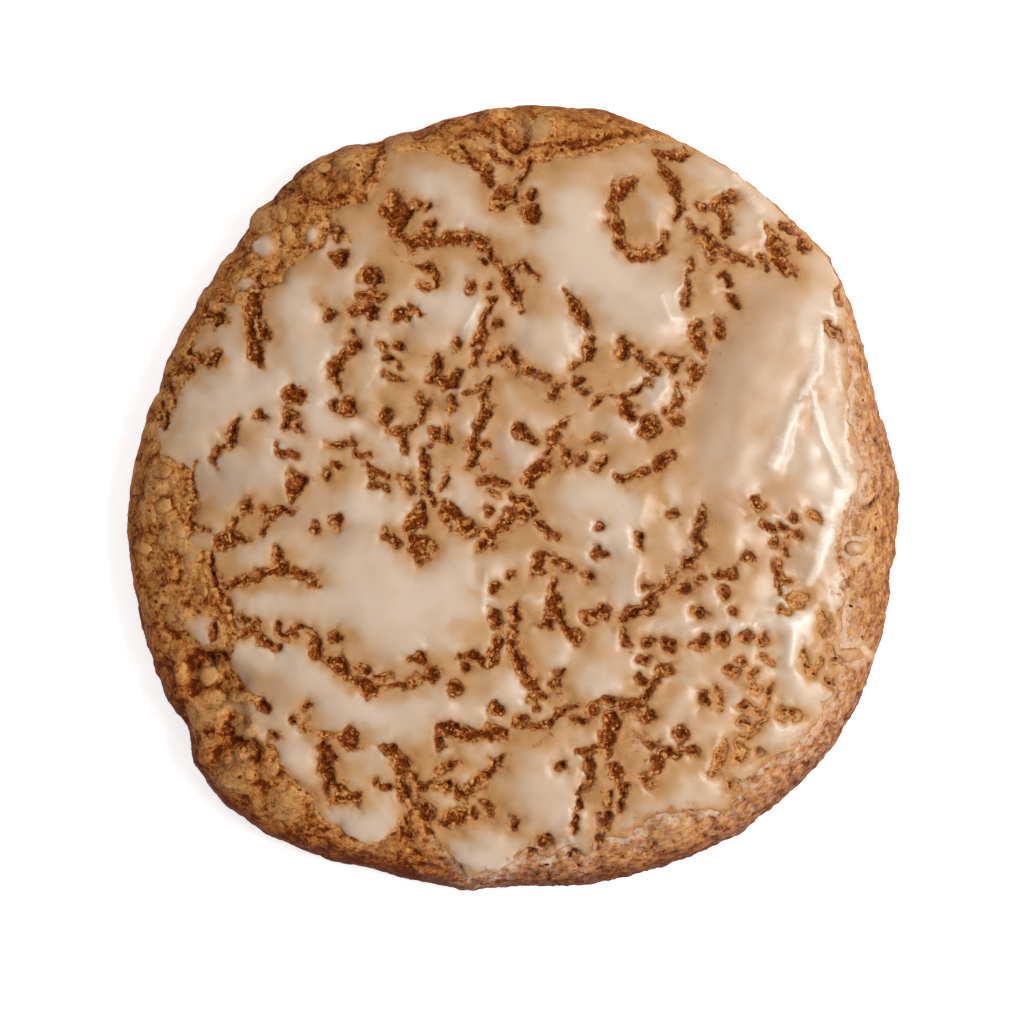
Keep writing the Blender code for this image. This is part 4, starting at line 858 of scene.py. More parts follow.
def patches(faces):
    """The patch number of every face, for patches that share edges."""
    edges, number = edges_of(faces)
    label = np.arange(len(faces))
    while True:
        lowest = np.full(len(edges), len(faces))
        for side in range(3):
            np.minimum.at(lowest, number[:, side], label)
        fresh = np.minimum(label, lowest[number].min(axis=1))
        fresh = fresh[fresh]
        if (fresh == label).all():
            return label
        label = fresh


def without_pinches(faces):
    """Drop the faces that hang on the rest by one corner only."""
    while True:
        edges, number, uses = edge_uses(faces)
        ends = np.bincount(edges[uses == 1].ravel(), minlength=faces.max() + 1)
        pinched = ends > 2
        if not pinched.any():
            return faces
        loose = pinched[faces].any(axis=1) & (uses[number] == 1).any(axis=1)
        faces = faces[~loose]


def compact(faces, *columns):
    """Number the used points afresh, and keep only their rows."""
    used, fresh = np.unique(faces, return_inverse=True)
    return fresh.reshape(faces.shape), [column[used] for column in columns]


def shell(faces, top, bottom):
    """Close a sheet: its upper face, its under face turned over, and the walls."""
    _, number, uses = edge_uses(faces)
    walls = []
    for side in range(3):
        rim = uses[number[:, side]] == 1
        walls.append(np.roll(faces[rim], -side, axis=1)[:, :2])
    a, b = np.vstack(walls).T
    count = len(top)
    closed = [faces, faces[:, ::-1] + count,
              np.stack((b, a, a + count), axis=1), np.stack((b, a + count, b + count), axis=1)]
    return np.vstack([top, bottom]), np.vstack(closed)


def add_object(name, data):
    """A new object in the scene."""
    made = bpy.data.objects.new(name, data)
    bpy.context.scene.collection.objects.link(made)
    return made


def make_piece(name, points, faces, fields, material, sharp=60.0):
    """Turn arrays in millimetres into a piece in metres, with its fields on its points."""
    data = bpy.data.meshes.new(name)
    data.vertices.add(len(points))
    data.vertices.foreach_set("co", (points * MM).ravel())
    data.loops.add(faces.size)
    data.loops.foreach_set("vertex_index", faces.ravel().astype(np.int32))
    data.polygons.add(len(faces))
    data.polygons.foreach_set("loop_start", np.arange(0, faces.size, 3, dtype=np.int32))
    data.update(calc_edges=True)
    data.validate()
    for key, values in fields.items():
        field = data.attributes.new(key, "FLOAT", "POINT")
        field.data.foreach_set("value", values.astype(np.float32))
    data.shade_smooth()
    data.set_sharp_from_angle(angle=math.radians(sharp))
    data.materials.append(material)
    return add_object(name, data)


# ---------------------------------------------------------------- crust

def lump_relief(points):
    """Rounded lumps with soft crevices between them, and the broad crumb on them."""
    heights = []
    for point in points:
        spot = Vector(point)
        bend = (noise.noise_vector(spot / LUMP_BEND_PITCH) * LUMP_BEND
                + noise.noise_vector(spot / LUMP_WAVER_PITCH) * LUMP_WAVER)
        near, _ = noise.voronoi((spot + bend) / LUMP_PITCH)
        lump = min((near[1] - near[0]) / CREVICE_SHARE, 1.0)
        lump = lump * lump * (3.0 - 2.0 * lump)
        share = LUMP_SHARE + LUMP_SHARE_SWING * noise.noise(spot / LUMP_SHARE_PITCH)
        crumb = noise.fractal(spot / CRUMB_PITCH, 0.9, 2.0, 3)
        heights.append(LUMP_HEIGHT * share * (lump - LUMP_LEVEL) + CRUMB_HEIGHT * crumb)
    return np.array(heights)


def grain_relief(points):
    """Granules of dough and oat in the crust, at about a millimetre."""
    heights = []
    for point in points:
        spot = Vector(point)
        bent = spot + noise.noise_vector(spot / GRANULE_BEND_PITCH) * GRANULE_BEND
        coarse, _ = noise.voronoi(bent / COARSE_GRANULE_PITCH + Vector((7.0, 3.0, 1.0)))
        fine, _ = noise.voronoi(bent / FINE_GRANULE_PITCH + Vector((2.0, 9.0, 4.0)))
        coarse = min((coarse[1] - coarse[0]) / GRANULE_EDGE, 1.0)
        fine = min((fine[1] - fine[0]) / GRANULE_EDGE, 1.0)
        heights.append(COARSE_GRANULE_HEIGHT * coarse - COARSE_GRANULE_HEIGHT / 2
                       + FINE_GRANULE_HEIGHT * fine - FINE_GRANULE_HEIGHT / 2
                       + GRIT_HEIGHT * noise.fractal(spot / GRIT_PITCH, 0.5, 2.0, 3))
    return np.array(heights)


def broad_relief(points, cover, gaps):
    """Height of the crust over the plain mound, without its grain."""
    z = points[:, 2]
    x, y = as_seen(points)
    iced = smooth_step((cover + 1.0) / RELIEF_FADE)
    relief = lump_relief(points) * (ICED_RELIEF - ICED_RELIEF_LOSS * iced)
    relief *= 1.0 - (1.0 - SIDE_RELIEF) * smooth_step((THICKNESS - SIDE_FADE - z) / SIDE_FADE)
    for middle_x, middle_y, radius, height in OAT_LUMPS:
        away = np.hypot(x - middle_x, y - middle_y) / radius
        relief += height * np.clip(1.0 - away ** 2, 0.0, 1.0)
    for row in FISSURES:
        relief -= FISSURE_DEPTH * smooth_step(1.0 - run_distance(x, y, row[0], row[1:]))
    dome = smooth_step(smooth_step(gaps / DOME_WIDTH)) - DOME_LEVEL
    return relief + DOME_HEIGHT * iced * dome


def oat_share(points):
    """1 on the large oat lumps, 0 beside them."""
    x, y = wavering(points, 0.4, 1.2, 2, 7.0, 23.0)
    share = np.zeros(x.shape)
    for middle_x, middle_y, radius, _ in OAT_LUMPS:
        away = np.hypot(x - middle_x, y - middle_y) / radius
        share = np.maximum(share, smooth_step((0.95 - away) / 0.4))
    return share


def crust_fields(points, gaps, cover):
    """The crust's height over the mound, and what its colour follows."""
    z = points[:, 2]
    foot = smooth_step(z / FOOT_FADE)
    bare = smooth_step((0.5 - cover) / 0.5)
    on_top = smooth_step((z - ICING_LOWEST) / 1.0)
    depth = CRACK_DEPTH * (1.0 + CRACK_DEPTH_SWING * swirl(points, CRACK_DEPTH_PITCH, 1, 71.0))
    crack = smooth_step((0.2 - gaps) / 0.7) * on_top
    heaped = smooth_step((-0.9 - gaps) / 0.9) * on_top
    grain = grain_relief(points)
    relief = broad_relief(points, cover, gaps) - depth * crack + HEAP_HEIGHT * heaped
    rim = smooth_step((THICKNESS - 2.0 - z) / RIM_FADE)
    low = lower_right(*as_seen(points), 20.0)
    relief += (0.7 - 0.4 * crack - (0.5 - 0.25 * low) * rim) * bare * grain
    return relief * foot, crack - 1.2 * heaped


def bake_crust():
    """The biscuit's surface as arrays: points, faces and fields, finer where it is bare."""
    flat, faces = hexagon(RINGS)
    for reach, lowest in ((1.3, 0.0), (0.35, 0.9)):
        points = mound(flat)
        cover = icing_cover(points, gap_field(points))
        near = (cover[faces].min(axis=1) < reach) & (points[faces][:, :, 2].max(axis=1) > lowest)
        flat, faces = refine(flat, faces, near)
    points = mound(flat)
    gaps = gap_field(points)
    cover = icing_cover(points, gaps)
    relief, crack = crust_fields(points, gaps, cover)
    edges, _ = edges_of(faces)
    placed = points + point_normals(points, faces) * relief[:, None]
    hollow = averaged(relief, edges, HOLLOW_ROUNDS) - relief
    nook = averaged(relief, edges, NOOK_ROUNDS) - relief
    fields = {"cover": cover, "crack": crack, "hollow": hollow, "nook": nook,
              "fringe": outer_fringe(points), "oat": oat_share(points),
              "cream": zone_sum(points, CREAM_ZONES)}
    return placed, faces, fields


def ring_in_order(points, edges):
    """The points of an open ring, walked edge by edge with the angle rising."""
    beside = {}
    for one, other in edges.tolist():
        beside.setdefault(one, []).append(other)
        beside.setdefault(other, []).append(one)
    angle = np.arctan2(points[:, 1], points[:, 0])
    first = min(beside, key=lambda spot: angle[spot])
    ring = [first, min(beside[first], key=lambda spot: angle[spot])]
    while ring[-1] != first:
        ring.append(next(spot for spot in beside[ring[-1]] if spot != ring[-2]))
    return np.array(ring[:-1])


def close_foot(points, faces, fields):
    """Flatten the lowest ring and close it underneath with flat rings."""
    edges, _, uses = edge_uses(faces)
    rim = ring_in_order(points, edges[uses == 1])
    points[rim, 2] = 0.0
    for _ in range(FOOT_SMOOTHING):
        points[rim, :2] = (points[rim, :2] * 2.0 + points[np.roll(rim, 1), :2]
                           + points[np.roll(rim, -1), :2]) / 4.0
    fields = dict(fields)
    rows, parts, last = [points], [faces], rim
    count = len(points)
    after = np.roll(np.arange(len(rim)), -1)
    for share in FOOT_RINGS:
        ring = points[rim] * (share, share, 1.0)
        fresh = count + np.arange(len(rim))
        rows.append(ring)
        parts.append(np.stack((last[after], last, fresh), axis=1))
        parts.append(np.stack((last[after], fresh, fresh[after]), axis=1))
        last, count = fresh, count + len(rim)
    rows.append(np.zeros((1, 3)))
    parts.append(np.stack((last[after], last, np.full(len(rim), count)), axis=1))
    points = np.vstack(rows)
    spare = len(points) - len(fields["cover"])
    for key, values in fields.items():
        under = -9.0 if key == "cover" else 0.0
        fields[key] = np.concatenate([values, np.full(spare, under)])
    return points, np.vstack(parts), fields


# ---------------------------------------------------------------- icing

def snapped(flat):
    """Move the points that lie near the icing's edge onto it."""
    def cover_at(spots):
        points = mound(spots)
        return icing_cover(points, gap_field(points))

    step = 1.0 / RINGS / FINE_SPLIT
    cover = cover_at(flat)
    near = np.abs(cover) < 0.45 * RING_STEP / FINE_SPLIT
    trial = step * 0.25
    slope_u = (cover_at(flat[near] + (trial, 0.0)) - cover[near]) / trial
    slope_v = (cover_at(flat[near] + (0.0, trial)) - cover[near]) / trial
    steep = slope_u ** 2 + slope_v ** 2
    move = np.stack((slope_u, slope_v), axis=1)
    move = move * (-cover[near] / np.maximum(steep, 200.0))[:, None]
    length = np.maximum(np.hypot(move[:, 0], move[:, 1]), 1e-12)
    move *= np.minimum(1.0, 0.4 * step / length)[:, None]
    flat = flat.copy()
    flat[near] += move
    return flat


def shaded_side_of(points, cover):
    """1 where the icing slopes down to the left, away from the key light, 0 on other slopes."""
    x, y = as_seen(points)
    back = np.minimum(gap_distance(x - SHADED_SIDE_REACH, y + 0.3), cover + SHADED_SIDE_REACH)
    return smooth_step((cover - back) / SHADED_SIDE_REACH) * smooth_step((3.6 - cover) / 1.2)


def outer_fringe(points):
    """1 at the icing's outer edge on the right and below, where it wears off to a haze."""
    x, y = as_seen(points)
    inside = inside_outline(x, y)
    reach = np.where(inside > 0.0, FRINGE_INSIDE, FRINGE_OUTSIDE)
    return smooth_step(1.0 - np.abs(inside) / reach) * lower_right(x, y, 16.0)


def painted_highlight_sum(points):
    """How far the icing has dried white as a painted highlight, 0 to 1."""
    x, y = wavering(points, STREAK_WAVER, STREAK_PITCH, 2, 17.0, 29.0)
    total = np.zeros(x.shape)
    for half_width, strength, *stations in PAINTED_HIGHLIGHT_STREAKS:
        away = run_distance(x, y, 0.0, stations) / half_width
        total = np.maximum(total, strength * smooth_step((1.25 - away) / 1.1))
    return total


def icing_heights(points, faces, gaps, cover, pool, lee):
    """Top of the icing: on the crust at its edges, smooth and full in its pools."""
    x, y = as_seen(points)
    edges, _ = edges_of(faces)
    crust_height = crust_fields(points, gaps, cover)[0]
    level = averaged(broad_relief(points, cover, gaps), edges, 6)
    full = ICING_FULL + ICING_SWELL * swirl(points, ICING_SWELL_PITCH)
    full += POOL_HEIGHT * pool
    for half_width, height, *stations in RIDGES:
        near = run_distance(x, y, 0.0, stations) / half_width
        full += RIDGE_SHARE * height * np.exp(-near ** 2)
    width = 0.7 + (0.5 + 1.4 * lee) * smooth_step(0.5 + swirl(points, 5.0, 1, 3.0))
    rise = 1.0 - (1.0 - np.clip(cover / (1.6 * width), 0.0, 1.0)) ** ICING_EDGE_POWER
    return crust_height + (level + full - crust_height) * rise + ICING_FILM, level


def icing_arrays():
    """The icing's sheet as arrays: flat places and faces, fine along its edges."""
    flat, faces = hexagon(RINGS)
    for low, high in ((-1.2, 99.0), (-0.5, 0.7)):
        points = mound(flat)
        cover = icing_cover(points, gap_field(points))
        near = (cover[faces].max(axis=1) > low) & (cover[faces].min(axis=1) < high)
        if high < 1.0:
            streaked = painted_highlight_sum(points)[faces].max(axis=1) > 0.05
            near |= streaked & (cover[faces].max(axis=1) > 0)
        flat, faces = refine(flat, faces, near)
    flat = snapped(flat)
    points = mound(flat)
    cover = icing_cover(points, gap_field(points))
    cover[np.abs(cover) < 0.1 * RING_STEP / FINE_SPLIT] = 0.0
    flat, faces = cut_to_cover(flat, faces, cover)
    faces = without_pinches(faces)
    faces, (flat,) = compact(faces, flat)
    return flat, faces


def icing_veil(points, cover, pool, thin, lee):
    """How thick the icing looks: full in its pools, fading to its edges and thin places, and fading
    wider on its shaded side as painted shade.
    """
    # Painted shade: the fade to amber reaches further in on slopes facing away from the key light.
    fade = 0.6 + (1.2 + 2.6 * lee) * smooth_step(0.5 + 0.9 * swirl(points, 4.0, 2, 21.0))
    fade *= 1.0 - 0.35 * pool * (1.0 - lee)
    veil = 0.45 + 0.22 * swirl(points, 4.0, 3, 50.0) + 0.58 * pool
    veil *= 1.0 - np.exp(-1.7 * (cover + 0.05) / fade)
    return veil * (1.0 - 0.75 * thin)


def build_icing(middle, material):
    """The icing's pieces: the sheet, and the small dabs beside it."""
    flat, faces = icing_arrays()
    points = mound(flat)
    gaps = gap_field(points)
    cover = np.maximum(icing_cover(points, gaps), 0.0)
    normals = point_normals(points, faces)
    edges, _ = edges_of(faces)
    # The thin field is partly painted shade on slopes facing away from the light.
    thin = zone_sum(points, THIN_AND_SHADED_ZONES)
    pool = zone_sum(points, POOLS)
    lee = averaged(shaded_side_of(points, cover), edges, 6)
    height, level = icing_heights(points, faces, gaps, cover, pool, lee)
    # The sugar field holds the painted highlight streaks; the cloud field holds a greyish film with
    # some painted shade.
    fields = {"veil": icing_veil(points, cover, pool, thin, lee), "cover": cover, "lee": lee,
              "thin": thin, "cloud": zone_sum(points, CLOUDY_AND_SHADED_ZONES),
              "sugar": painted_highlight_sum(points), "fringe": outer_fringe(points),
              "outer": smooth_step(gaps - cover)}
    top = points + normals * height[:, None] - middle
    bottom = points + normals * (np.minimum(level, height) - ICING_DEPTH)[:, None] - middle
    area = np.linalg.norm(face_normals(points, faces), axis=1) / 2
    label = patches(faces)
    size = np.bincount(label, area, len(faces))[label]
    pieces = []
    for name, chosen in (("icing_sheet", size > SHEET_AREA),
                         ("icing_dabs", (size <= SHEET_AREA) & (size > SMALLEST_DAB))):
        part, (upper, under, *columns) = compact(faces[chosen], top, bottom, *fields.values())
        shape, closed = shell(part, upper, under)
        both = {key: np.concatenate([column, column]) for key, column in zip(fields, columns)}
        pieces.append(make_piece(name, shape, closed, both, material))
    return pieces


# ---------------------------------------------------------------- shader sums

class Field:
    """A shader value that takes part in sums: each sum adds its Math node."""

    def __init__(self, tree, socket):
        self.tree, self.socket = tree, socket

    def math(self, operation, *others):
        node = self.tree.nodes.new("ShaderNodeMath")
        node.operation = operation
        for socket, value in zip(node.inputs, (self, *others)):
            if isinstance(value, Field):
                self.tree.links.new(value.socket, socket)
            else:
                socket.default_value = value
        return Field(self.tree, node.outputs[0])

    def __add__(self, other):
        return self.math("ADD", other)

    def __sub__(self, other):
        return self.math("SUBTRACT", other)

    def __rsub__(self, other):
        return self.math("MULTIPLY_ADD", -1.0, other)

    def __mul__(self, other):
        return self.math("MULTIPLY", other)

    __radd__, __rmul__ = __add__, __mul__

    def __truediv__(self, other):
        return self.math("DIVIDE", other)

    def __pow__(self, other):
        return self.math("POWER", other)

    def between(self, low, high):
        """Rise smoothly from 0 at low to 1 at high."""
        node = self.tree.nodes.new("ShaderNodeMapRange")
        node.interpolation_type = "SMOOTHSTEP"
        self.tree.links.new(self.socket, node.inputs["Value"])
        node.inputs["From Min"].default_value = low
        node.inputs["From Max"].default_value = high
        return Field(self.tree, node.outputs[0])

    def clamped(self):
        node = self.tree.nodes.new("ShaderNodeClamp")
        self.tree.links.new(self.socket, node.inputs["Value"])
        return Field(self.tree, node.outputs[0])


class Nodes:
    """A node tree, with its nodes added by one method."""

    def __init__(self, tree):
        self.tree = tree

    def node(self, kind, settings, values, output=0):
        made = self.tree.nodes.new(kind)
        for key, value in settings.items():
            if key == "stops":
                self.set_stops(made.color_ramp, value)
            else:
                setattr(made, key, value)
        for key, value in values.items():
            self.feed(made.inputs[key], value)
        return Field(self.tree, made.outputs[output]) if output is not None else None

    def set_stops(self, ramp, stops):
        while len(ramp.elements) < len(stops):
            ramp.elements.new(0.5)
        for element, (position, colour) in zip(ramp.elements, stops):
            element.position = position
            element.color = (*colour, 1.0)

    def vector(self, operation, first, second):
        return self.node("ShaderNodeVectorMath", {"operation": operation},
                         {0: first, 1: second}, "Vector")

    def scaled(self, vector, scale):
        return self.node("ShaderNodeVectorMath", {"operation": "SCALE"},
                         {"Vector": vector, "Scale": scale}, "Vector")

    def feed(self, socket, value):
        if isinstance(value, Field):
            self.tree.links.new(value.socket, socket)
        elif isinstance(value, tuple) and len(value) == 3 and socket.type == "RGBA":
            socket.default_value = (*value, 1.0)
        else:
            socket.default_value = value


class Finish(Nodes):
    """A material and the patterns it is made of."""

    def __init__(self, name):
        self.material = bpy.data.materials.new(name)
        self.material.use_nodes = True
        super().__init__(self.material.node_tree)
        self.shader = self.tree.nodes["Principled BSDF"]
        place = self.node("ShaderNodeTexCoord", {}, {}, "Object")
        self.place = self.scaled(place, 1.0 / MM)

    def attributes(self, *names):
        """The piece's own fields by name."""
        return [self.node("ShaderNodeAttribute", {"attribute_name": name}, {}, "Fac")
                for name in names]

    def grain(self, pitch, detail=2.0, roughness=0.5, place=None, kind="Fac"):
        """Noise between 0 and 1 whose features are about pitch millimetres."""
        return self.node("ShaderNodeTexNoise", {}, {
            "Vector": place or self.place, "Scale": 1.0 / pitch, "Detail": detail,
            "Roughness": roughness}, kind)

    def cells(self, pitch, feature="F1", output="Distance", place=None):
        return self.node("ShaderNodeTexVoronoi", {"feature": feature}, {
            "Vector": place or self.place, "Scale": 1.0 / pitch}, output)

    def bent(self, amount, pitch):
        """The place, pushed about by noise."""
        push = self.vector("SUBTRACT", self.grain(pitch, 1.0, kind="Color"), (0.5, 0.5, 0.5))
        return self.vector("ADD", self.place, self.scaled(push, 2.0 * amount))

    def ramp(self, value, stops):
        return self.node("ShaderNodeValToRGB", {"stops": stops}, {"Fac": value}, "Color")

    def mix(self, share, first, second):
        return self.node("ShaderNodeMix", {"data_type": "RGBA"},
                         {0: share, 6: first, 7: second}, 2)

    def bump(self, height, distance, strength):
        return self.node("ShaderNodeBump", {}, {
            "Height": height, "Distance": distance, "Strength": strength}, "Normal")

    def set(self, **values):
        for key, value in values.items():
            self.feed(self.shader.inputs[key.replace("_", " ")], value)


# ---------------------------------------------------------------- finishes

# Colours from pale to browned dough, from thin amber to thick cream icing, and of the oats.
DOUGH_STOPS = (
    (0.0, (0.56, 0.30, 0.108)), (0.28, (0.45, 0.195, 0.052)), (0.52, (0.325, 0.108, 0.02)),
    (0.78, (0.195, 0.043, 0.003)), (1.0, (0.095, 0.014, 0.0)))
ICING_STOPS = (
    (0.0, (0.31, 0.125, 0.03)), (0.22, (0.42, 0.215, 0.075)), (0.45, (0.485, 0.30, 0.165)),
    (0.72, (0.525, 0.375, 0.257)), (1.0, (0.57, 0.435, 0.325)))
FLAKE_STOPS = ((0.0, (0.51, 0.275, 0.10)), (0.5, (0.42, 0.19, 0.053)), (1.0, (0.28, 0.10, 0.022)))
OAT_LUMP = (0.58, 0.33, 0.13)
SUGAR_HAZE = (0.63, 0.375, 0.225)
WORN_ICING = (0.62, 0.44, 0.31)
THIN_AND_SHADED_AMBER = (0.46, 0.235, 0.075)
CLOUDY_FILM_AND_SHADE = (0.37, 0.25, 0.17)
PAINTED_HIGHLIGHT_WHITE = (0.80, 0.71, 0.61)


def lines(finish, pitch, width, place):
    """Thin winding lines: 1 on the line, 0 beside it."""
    hill = finish.grain(pitch, 2.0, 0.5, place=place)
    return (hill - 0.5).math("ABSOLUTE").between(width, 0.0)


def crumb_tone(finish, deep):
    """How dark the crumb in the cracks is: golden on granules, dark in pores, and darker where deep
    as painted shade.
    """
    bent = finish.bent(0.3, 0.9)
    crumb = finish.grain(0.38, 4.0, 0.65, place=bent)
    spots = finish.grain(0.75, 4.0, 0.6, place=bent)
    blotch = finish.grain(1.8, 2.0, 0.5)
    dark = (spots + (blotch - 0.5) * 0.6 + deep * 0.1).between(0.47, 0.58)
    return 0.22 + (crumb - 0.5) * 2.2 + deep * 0.15 + dark * 0.45, crumb


def rind_place(finish):
    """The place, drawn out along the rim on the side wall, and its parts."""
    x, y, z = (finish.node("ShaderNodeSeparateXYZ", {}, {"Vector": finish.place}, axis)
               for axis in "XYZ")
    radius = (x * x + y * y) ** 0.5
    low = (x * 0.8 - y * 0.6).between(5.0, 32.0)
    draw = 1.0 + (radius - 35.0).math("MAXIMUM", 0.0) * (low * 1.4 + 0.1) / radius
    place = finish.node("ShaderNodeCombineXYZ", {}, {"X": x * draw, "Y": y * draw, "Z": z * 2.0})
    return place, x, y, z


def rind_tone(finish, drawn, x, y, z):
    """How dark the browned rind is: golden patches, dark specks along their borders, painted shade
    on its left and lower sides.
    """
    patch = finish.grain(2.2, 3.0, 0.55, place=drawn)
    fine = finish.grain(0.5, 5.0, 0.7, place=drawn)
    bent = finish.bent(0.9, 2.0)
    patch_tone = finish.cells(3.2, "F1", "Color", bent)
    border = finish.cells(3.2, "DISTANCE_TO_EDGE", "Distance", bent).between(0.16, 0.0)
    specks = border * finish.grain(0.6, 3.0, 0.6).between(0.40, 0.58)
    veins = lines(finish, 1.3, 0.045, drawn) * finish.grain(1.9).between(0.42, 0.58)
    left = x.between(24.0, -16.0)
    low = (x * 0.8 - y * 0.6).between(0.0, 26.0)
    coarse = (finish.grain(1.1, 3.0, 0.55, place=drawn) - 0.5) * low * 1.1
    below = y.between(-8.0, -34.0)
    # Painted shade: darker on the left side and along the lower outer band, away from the key
    # light.
    lower_left_shade = left * (0.08 + y.between(8.0, -14.0) * 0.18)
    low_rim_shade = z.between(7.5, 5.0) * z.between(0.0, 5.0) * below * 0.28
    # Browning toward the foot, with the painted shade of the left and lower sides added in.
    browned = (z.between(8.5, 3.5) * (0.1 + low * 0.2 + lower_left_shade) + coarse
               + low_rim_shade + low * below * 0.08 + y.between(22.0, 36.0) * 0.07)
    threads = lines(finish, 0.8, 0.05, drawn) * finish.grain(1.5).between(0.40, 0.56)
    tone = (0.27 + (patch_tone - 0.5) * 0.2 * left + (patch - 0.5) * 1.1 + (fine - 0.5) * 1.1
            + veins * 0.3 + threads * (0.18 + left * 0.12) + specks * (0.08 + left * 0.37)
            + browned)
    return tone, fine


def still_iced(finish, cover):
    """Where some icing is left at its worn outer edge, in patches that thin out."""
    return (cover * 0.3 + (finish.grain(1.1, 5.0, 0.68) - 0.5) * 3.4).between(-0.45, 0.35)


def crust_finish():
    """Browned oat dough: golden patches, dark seams, browner to the foot, painted shade in hollows
    and on the left and lower sides, a sugar haze.
    """
    finish = Finish("browned oat crust")
    cover, crack, hollow, nook, fringe, oat, cream = finish.attributes(
        "cover", "crack", "hollow", "nook", "fringe", "oat", "cream")
    drawn, x, y, z = rind_place(finish)
    pale = (x * 0.9 - y * 0.45).between(26.0, 34.0)
    # Painted shade: the crumb is darker deeper in the cracks and in nooks.
    deep = crack * 1.4 - 0.7 + nook.between(-0.06, 0.08) - pale * 1.2
    in_crumb, crumb = crumb_tone(finish, deep)
    on_rind, fine = rind_tone(finish, drawn, x, y, z)
    # Painted shade: the rind is darker in its hollows and nooks.
    on_rind = on_rind + hollow.between(0.0, 0.35) * 0.22 + nook.between(0.0, 0.08) * 0.35
    inner = (cover * -1.0).between(0.2, 1.0).math("MAXIMUM", fringe)
    depth = in_crumb + (on_rind - in_crumb) * inner * (1.0 - crack)
    colour = finish.ramp(depth.clamped(), DOUGH_STOPS)
    colour = finish.mix(oat * (0.55 - (fine - 0.5) * 1.5) * 0.45, colour, OAT_LUMP)
    haze = finish.grain(1.3, 4.0, 0.65, place=drawn).between(0.36, 0.62)
    haze = haze * (fringe * 0.35 + x.between(0.0, 36.0) * 0.2) * (1.0 - crack)
    haze = haze * z.between(1.0, 6.0)
    colour = finish.mix(haze, colour, SUGAR_HAZE)
    smeared = (cream + (finish.grain(1.0, 5.0, 0.65) - 0.5) * 1.6).between(0.3, 0.7)
    worn = (still_iced(finish, cover) * fringe).math("MAXIMUM", smeared)
    worn = worn * (1.0 - crack) * z.between(2.0, 6.0)
    colour = finish.mix(worn * 0.85, colour, WORN_ICING)
    finish.set(Base_Color=colour, Roughness=0.75 - (haze + worn) * 0.2)
    finish.set(Specular_IOR_Level=0.08)
    finish.set(Normal=finish.bump(crumb * 0.5 + fine - on_rind * 0.2, 0.2 * MM, 0.8))
    return finish.material


def icing_finish():
    """Sugar icing: cream where thick, amber where thin, smooth and half glossy, with painted
    highlights on its white streaks.
    """
    finish = Finish("sugar icing")
    veil, cover, cloud, lee, thin, fringe, outer, sugar = finish.attributes(
        "veil", "cover", "cloud", "lee", "thin", "fringe", "outer", "sugar")
    drawn, x, y, z = rind_place(finish)
    pale = (x * 0.9 - y * 0.45).between(26.0, 34.0)
    tone, crumb = crumb_tone(finish, 0.8 - lee * 1.4 - pale - outer * 1.4)
    tone = (tone - cover.between(0.0, 0.5) * 0.2).math("MAXIMUM", 0.22)
    soft = finish.grain(2.4, 3.0, 0.5)
    patchwork = finish.grain(1.1, 4.0, 0.6)
    edge = cover + (crumb - 0.5) * 0.45 + (patchwork - 0.5) * 0.6
    bare = (edge / (lee * 0.45 + 0.25)).between(1.6, 0.3) * (1.0 - fringe.between(0.3, 0.9))
    patchy = (veil + (patchwork - 0.5) * 1.2 + (crumb - 0.5) * 0.4).between(0.06, -0.04)
    bare = bare + (1.0 - bare) * patchy
    depth = (veil + (soft - 0.5) * 0.3).clamped()
    colour = finish.ramp(depth, ICING_STOPS)
    # Partly painted shade: amber laid over the thin places, some of them shaded slopes.
    gold = thin * finish.grain(1.6, 3.0, 0.5).between(0.36, 0.56)
    colour = finish.mix(gold * 0.6, colour, THIN_AND_SHADED_AMBER)
    # Partly painted shade: the cloudy film darkens some places the key light falls on.
    colour = finish.mix(cloud * 0.75, colour, CLOUDY_FILM_AND_SHADE)
    colour = finish.mix(bare * 0.92, colour, finish.ramp(tone.clamped(), DOUGH_STOPS))
    on_rind, _ = rind_tone(finish, drawn, x, y, z)
    worn = (1.0 - still_iced(finish, cover)) * fringe
    colour = finish.mix(worn * (1.0 - bare), colour, finish.ramp(on_rind.clamped(), DOUGH_STOPS))
    bare = bare.math("MAXIMUM", worn)
    # Painted highlight: white and glinting specks laid into the colour along the sugar streaks.
    sparkle = finish.grain(0.22, 3.0, 0.6).between(0.36, 0.56)
    white = (sugar * 1.3 - 0.3 + sparkle * 0.3).clamped() * (1.0 - bare)
    colour = finish.mix(white * 0.6, colour, PAINTED_HIGHLIGHT_WHITE)
    matte = x.between(14.0, -14.0) * 0.14
    finish.set(Base_Color=colour, Roughness=0.27 + matte + (1.0 - depth) * 0.18 + bare * 0.4)
    finish.set(Specular_IOR_Level=0.45, Subsurface_Weight=0.2, Subsurface_Scale=0.7 * MM,
               Subsurface_Radius=(1.0, 0.6, 0.35))
    height = finish.grain(2.6, 1.0, 0.5) * 0.3 + crumb * bare
    finish.set(Normal=finish.bump(height, 0.14 * MM, 0.7))
    return finish.material


def crumb_finish():
    """Small crumbs of browned dough, golden to dark from one to the next."""
    finish = Finish("browned crumb")
    tone = finish.grain(1.1, 2.0, 0.6).between(0.32, 0.68)
    tone = tone + (finish.grain(0.3, 2.0) - 0.5) * 0.7 + 0.2
    finish.set(Base_Color=finish.ramp(tone.clamped(), DOUGH_STOPS), Roughness=0.8)
    finish.set(Specular_IOR_Level=0.08)
    return finish.material


